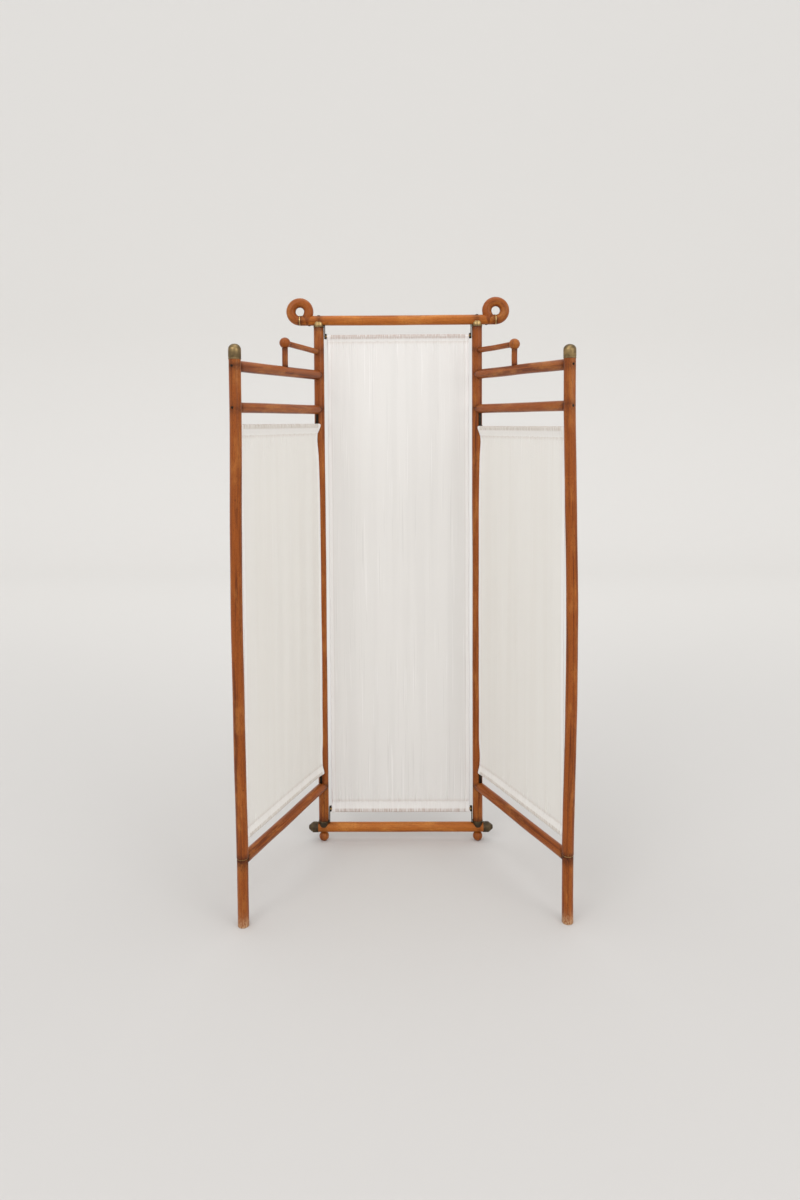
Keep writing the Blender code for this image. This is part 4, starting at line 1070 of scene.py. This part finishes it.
# ---- brass rods
def build_cloth_rod(node, panel):
    """A thin brass rod with rounded ends, between two opposite corners of the plain one's box."""
    z, radius = height_and_radius(node)
    low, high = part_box(node)
    # the right wing comes forward as it goes right, so its rods run between the other two corners
    near, far = (high.y, low.y) if panel is RIGHT else (low.y, high.y)
    first, last = sorted(np.dot(np.array([x, y, 0.0]) - panel.origin, panel.along)
                         for x, y in ((low.x, near), (high.x, far)))
    length = last - first
    profile = rounded([(0.0, length), (radius, length), (radius, 0.0), (0.0, 0.0)], 0.0012, 4)
    turned(f"fine_{node}", panel, (first, 0, z), "along", profile, BRASS, node, columns=16)


# ---- studio
# the front floor's darker paint is painted shade
FRONT_FLOOR_SHADE_PAINT = tone(202, 200, 198)
WALL_PAINT = tone(234, 232, 229)
FRONT_AIR = (0.98, 0.98, 0.98, 1.0)
SIDE_AIR = (0.88, 0.88, 0.88, 1.0)
LIGHT_COLOUR = (1.0, 0.985, 0.965)
LIGHTS_AIM = Vector((0, -0.1, 0.9))
LIGHTS = (("key_softbox", (-2.2, -3.4, 3.6), (2.2, 1.6), 42),  # place, size, watts
          ("fill_softbox", (2.8, -3.0, 2.4), (2.0, 2.0), 30),
          ("overhead_softbox", (0.0, -0.2, 4.4), (3.0, 2.4), 26))

CAMERA_FROM_RAIL = (0.0267, -2.579)  # from the top rail's middle, along x and y
CAMERA_HEIGHT = 1.3594
CAMERA_PITCH = 0.0488  # radians down, then to the left, then rolled
CAMERA_YAW = 0.0086
CAMERA_ROLL = -0.0060
CAMERA_LENS = 24.315
CAMERA_SENSOR = 36.0
CAMERA_SHIFT = -0.115


def build_studio():
    """A pale sweep in even air that is dimmer at the sides, with three soft lights.

    The sweep is one ribbon of floor, round cove and back wall, painted darker towards the front; that
    grading is painted light: painted shade on the near floor, and the far floor painted as pale as the wall
    to make up for its dimmer light.
    """
    cove_start, cove_radius, wall_top, half = 5.0, 2.5, 9.0, 9.0
    angle = np.linspace(0, np.pi / 2, 24)
    cove = np.stack([cove_start + cove_radius * np.sin(angle), cove_radius * (1 - np.cos(angle))], axis=1)
    path = np.concatenate([[[-half, 0.0]], cove, [[cove_start + cove_radius, wall_top]]])
    points = np.concatenate([np.insert(path, 0, x, axis=1) for x in (half, -half)])
    count = len(path)
    i = np.arange(count - 1)
    faces = np.stack([i, i + 1, i + 1 + count, i + count], axis=1)
    paint = bpy.data.materials.new("pale_sweep_paint")
    paint.use_nodes = True
    nodes = Nodes(paint.node_tree)
    where = nodes.add("ShaderNodeTexCoord").outputs["Object"]
    # painted light: the paint runs from the darker front floor colour to the wall's paler colour far back
    back = nodes.step(nodes.parts(where)[1], -1.0, 4.5)
    shader = paint.node_tree.nodes["Principled BSDF"]
    nodes.feed(shader.inputs["Base Color"], nodes.mix(back, FRONT_FLOOR_SHADE_PAINT, WALL_PAINT))
    shader.inputs["Roughness"].default_value = 0.9
    shader.inputs["Specular IOR Level"].default_value = 0.1
    sweep = write_mesh("studio_sweep", points, faces, {}, paint)

    world = bpy.data.worlds.new("studio_air")
    bpy.context.scene.world = world
    world.use_nodes = True
    air = Nodes(world.node_tree)
    across = air.parts(air.add("ShaderNodeTexCoord").outputs["Generated"])[0]
    aside = air.step(air.reckon("ABSOLUTE", across), 0.35, 0.95)
    background = world.node_tree.nodes["Background"]
    air.feed(background.inputs["Color"], air.mix(aside, FRONT_AIR, SIDE_AIR))
    background.inputs["Strength"].default_value = 1.0
    for name, at, size, power in LIGHTS:
        light = bpy.data.lights.new(name, "AREA")
        light.shape = "RECTANGLE"
        light.size, light.size_y = size
        light.energy = power
        light.color = LIGHT_COLOUR
        lamp = bpy.data.objects.new(name, light)
        lamp.location = at
        lamp.rotation_mode = "QUATERNION"
        lamp.rotation_quaternion = (LIGHTS_AIM - lamp.location).to_track_quat("-Z", "Y")
        bpy.context.scene.collection.objects.link(lamp)


def build_camera():
    """Stands before the centre panel at about three quarters of its height, looking down a little."""
    position = Vector((TOP.x + CAMERA_FROM_RAIL[0], TOP.y + CAMERA_FROM_RAIL[1], CAMERA_HEIGHT))
    right = Vector((math.cos(CAMERA_YAW), math.sin(CAMERA_YAW), 0.0))
    level = Vector((-math.sin(CAMERA_YAW), math.cos(CAMERA_YAW), 0.0))
    forward = level * math.cos(CAMERA_PITCH) - Vector((0.0, 0.0, math.sin(CAMERA_PITCH)))
    up = right.cross(forward)
    rolled_right = right * math.cos(CAMERA_ROLL) + up * math.sin(CAMERA_ROLL)
    rolled_up = up * math.cos(CAMERA_ROLL) - right * math.sin(CAMERA_ROLL)
    data = bpy.data.cameras.new("front_camera")
    data.lens = CAMERA_LENS
    data.sensor_width = CAMERA_SENSOR
    data.shift_y = CAMERA_SHIFT
    camera = bpy.data.objects.new("front_camera", data)
    turn = Matrix((rolled_right, rolled_up, -forward)).transposed().to_4x4()
    camera.matrix_world = Matrix.Translation(position) @ turn
    bpy.context.scene.collection.objects.link(camera)
    bpy.context.scene.camera = camera


# ---- making it all
bpy.context.scene.view_settings.view_transform = "Standard"
build_studio()
build_camera()
build_centre_rails()
for side_name, side, seed in (("left", -1, 40), ("right", 1, 60)):
    build_scroll(side_name, side, seed)
    build_band(side_name, side)
    build_saddle(side_name, side)
    build_collar(side_name, side)
    build_ball_foot(side_name, side, seed)
    build_rail_cap(side_name, side)
    build_centre_screws(side_name, side)
build_wing_frame("left", LEFT, LEFT_WIDTH, seed=100)
build_wing_frame("right", RIGHT, RIGHT_WIDTH, seed=140)
build_centre_cloth()
build_wing_cloth("left", LEFT, LEFT_WIDTH, LEFT_CLOTH_EDGE, seed=200)
build_wing_cloth("right", RIGHT, RIGHT_WIDTH, RIGHT_CLOTH_EDGE, seed=220)
for node, panel in (("centre_top_rod", CENTRE), ("centre_bottom_rod", CENTRE), ("left_top_rod", LEFT),
                    ("left_bottom_rod", LEFT), ("right_top_rod", RIGHT), ("right_bottom_rod", RIGHT)):
    build_cloth_rod(node, panel)

for side_name in ("left", "right"):
    for level in ("top", "bottom"):
        build_bracket(f"{level}_rod_bracket_{side_name}", CENTRE)
        build_bracket(f"{side_name}_{level}_rod_bracket", LEFT if side_name == "left" else RIGHT)

# what is still the plain solid is a pin inside the wood, or a stud of which only a collar shows
for name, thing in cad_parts.items():
    if not thing.hide_render:
        thing.data.materials.clear()
        thing.data.materials.append(BRASS if "stud" in name else IRON)
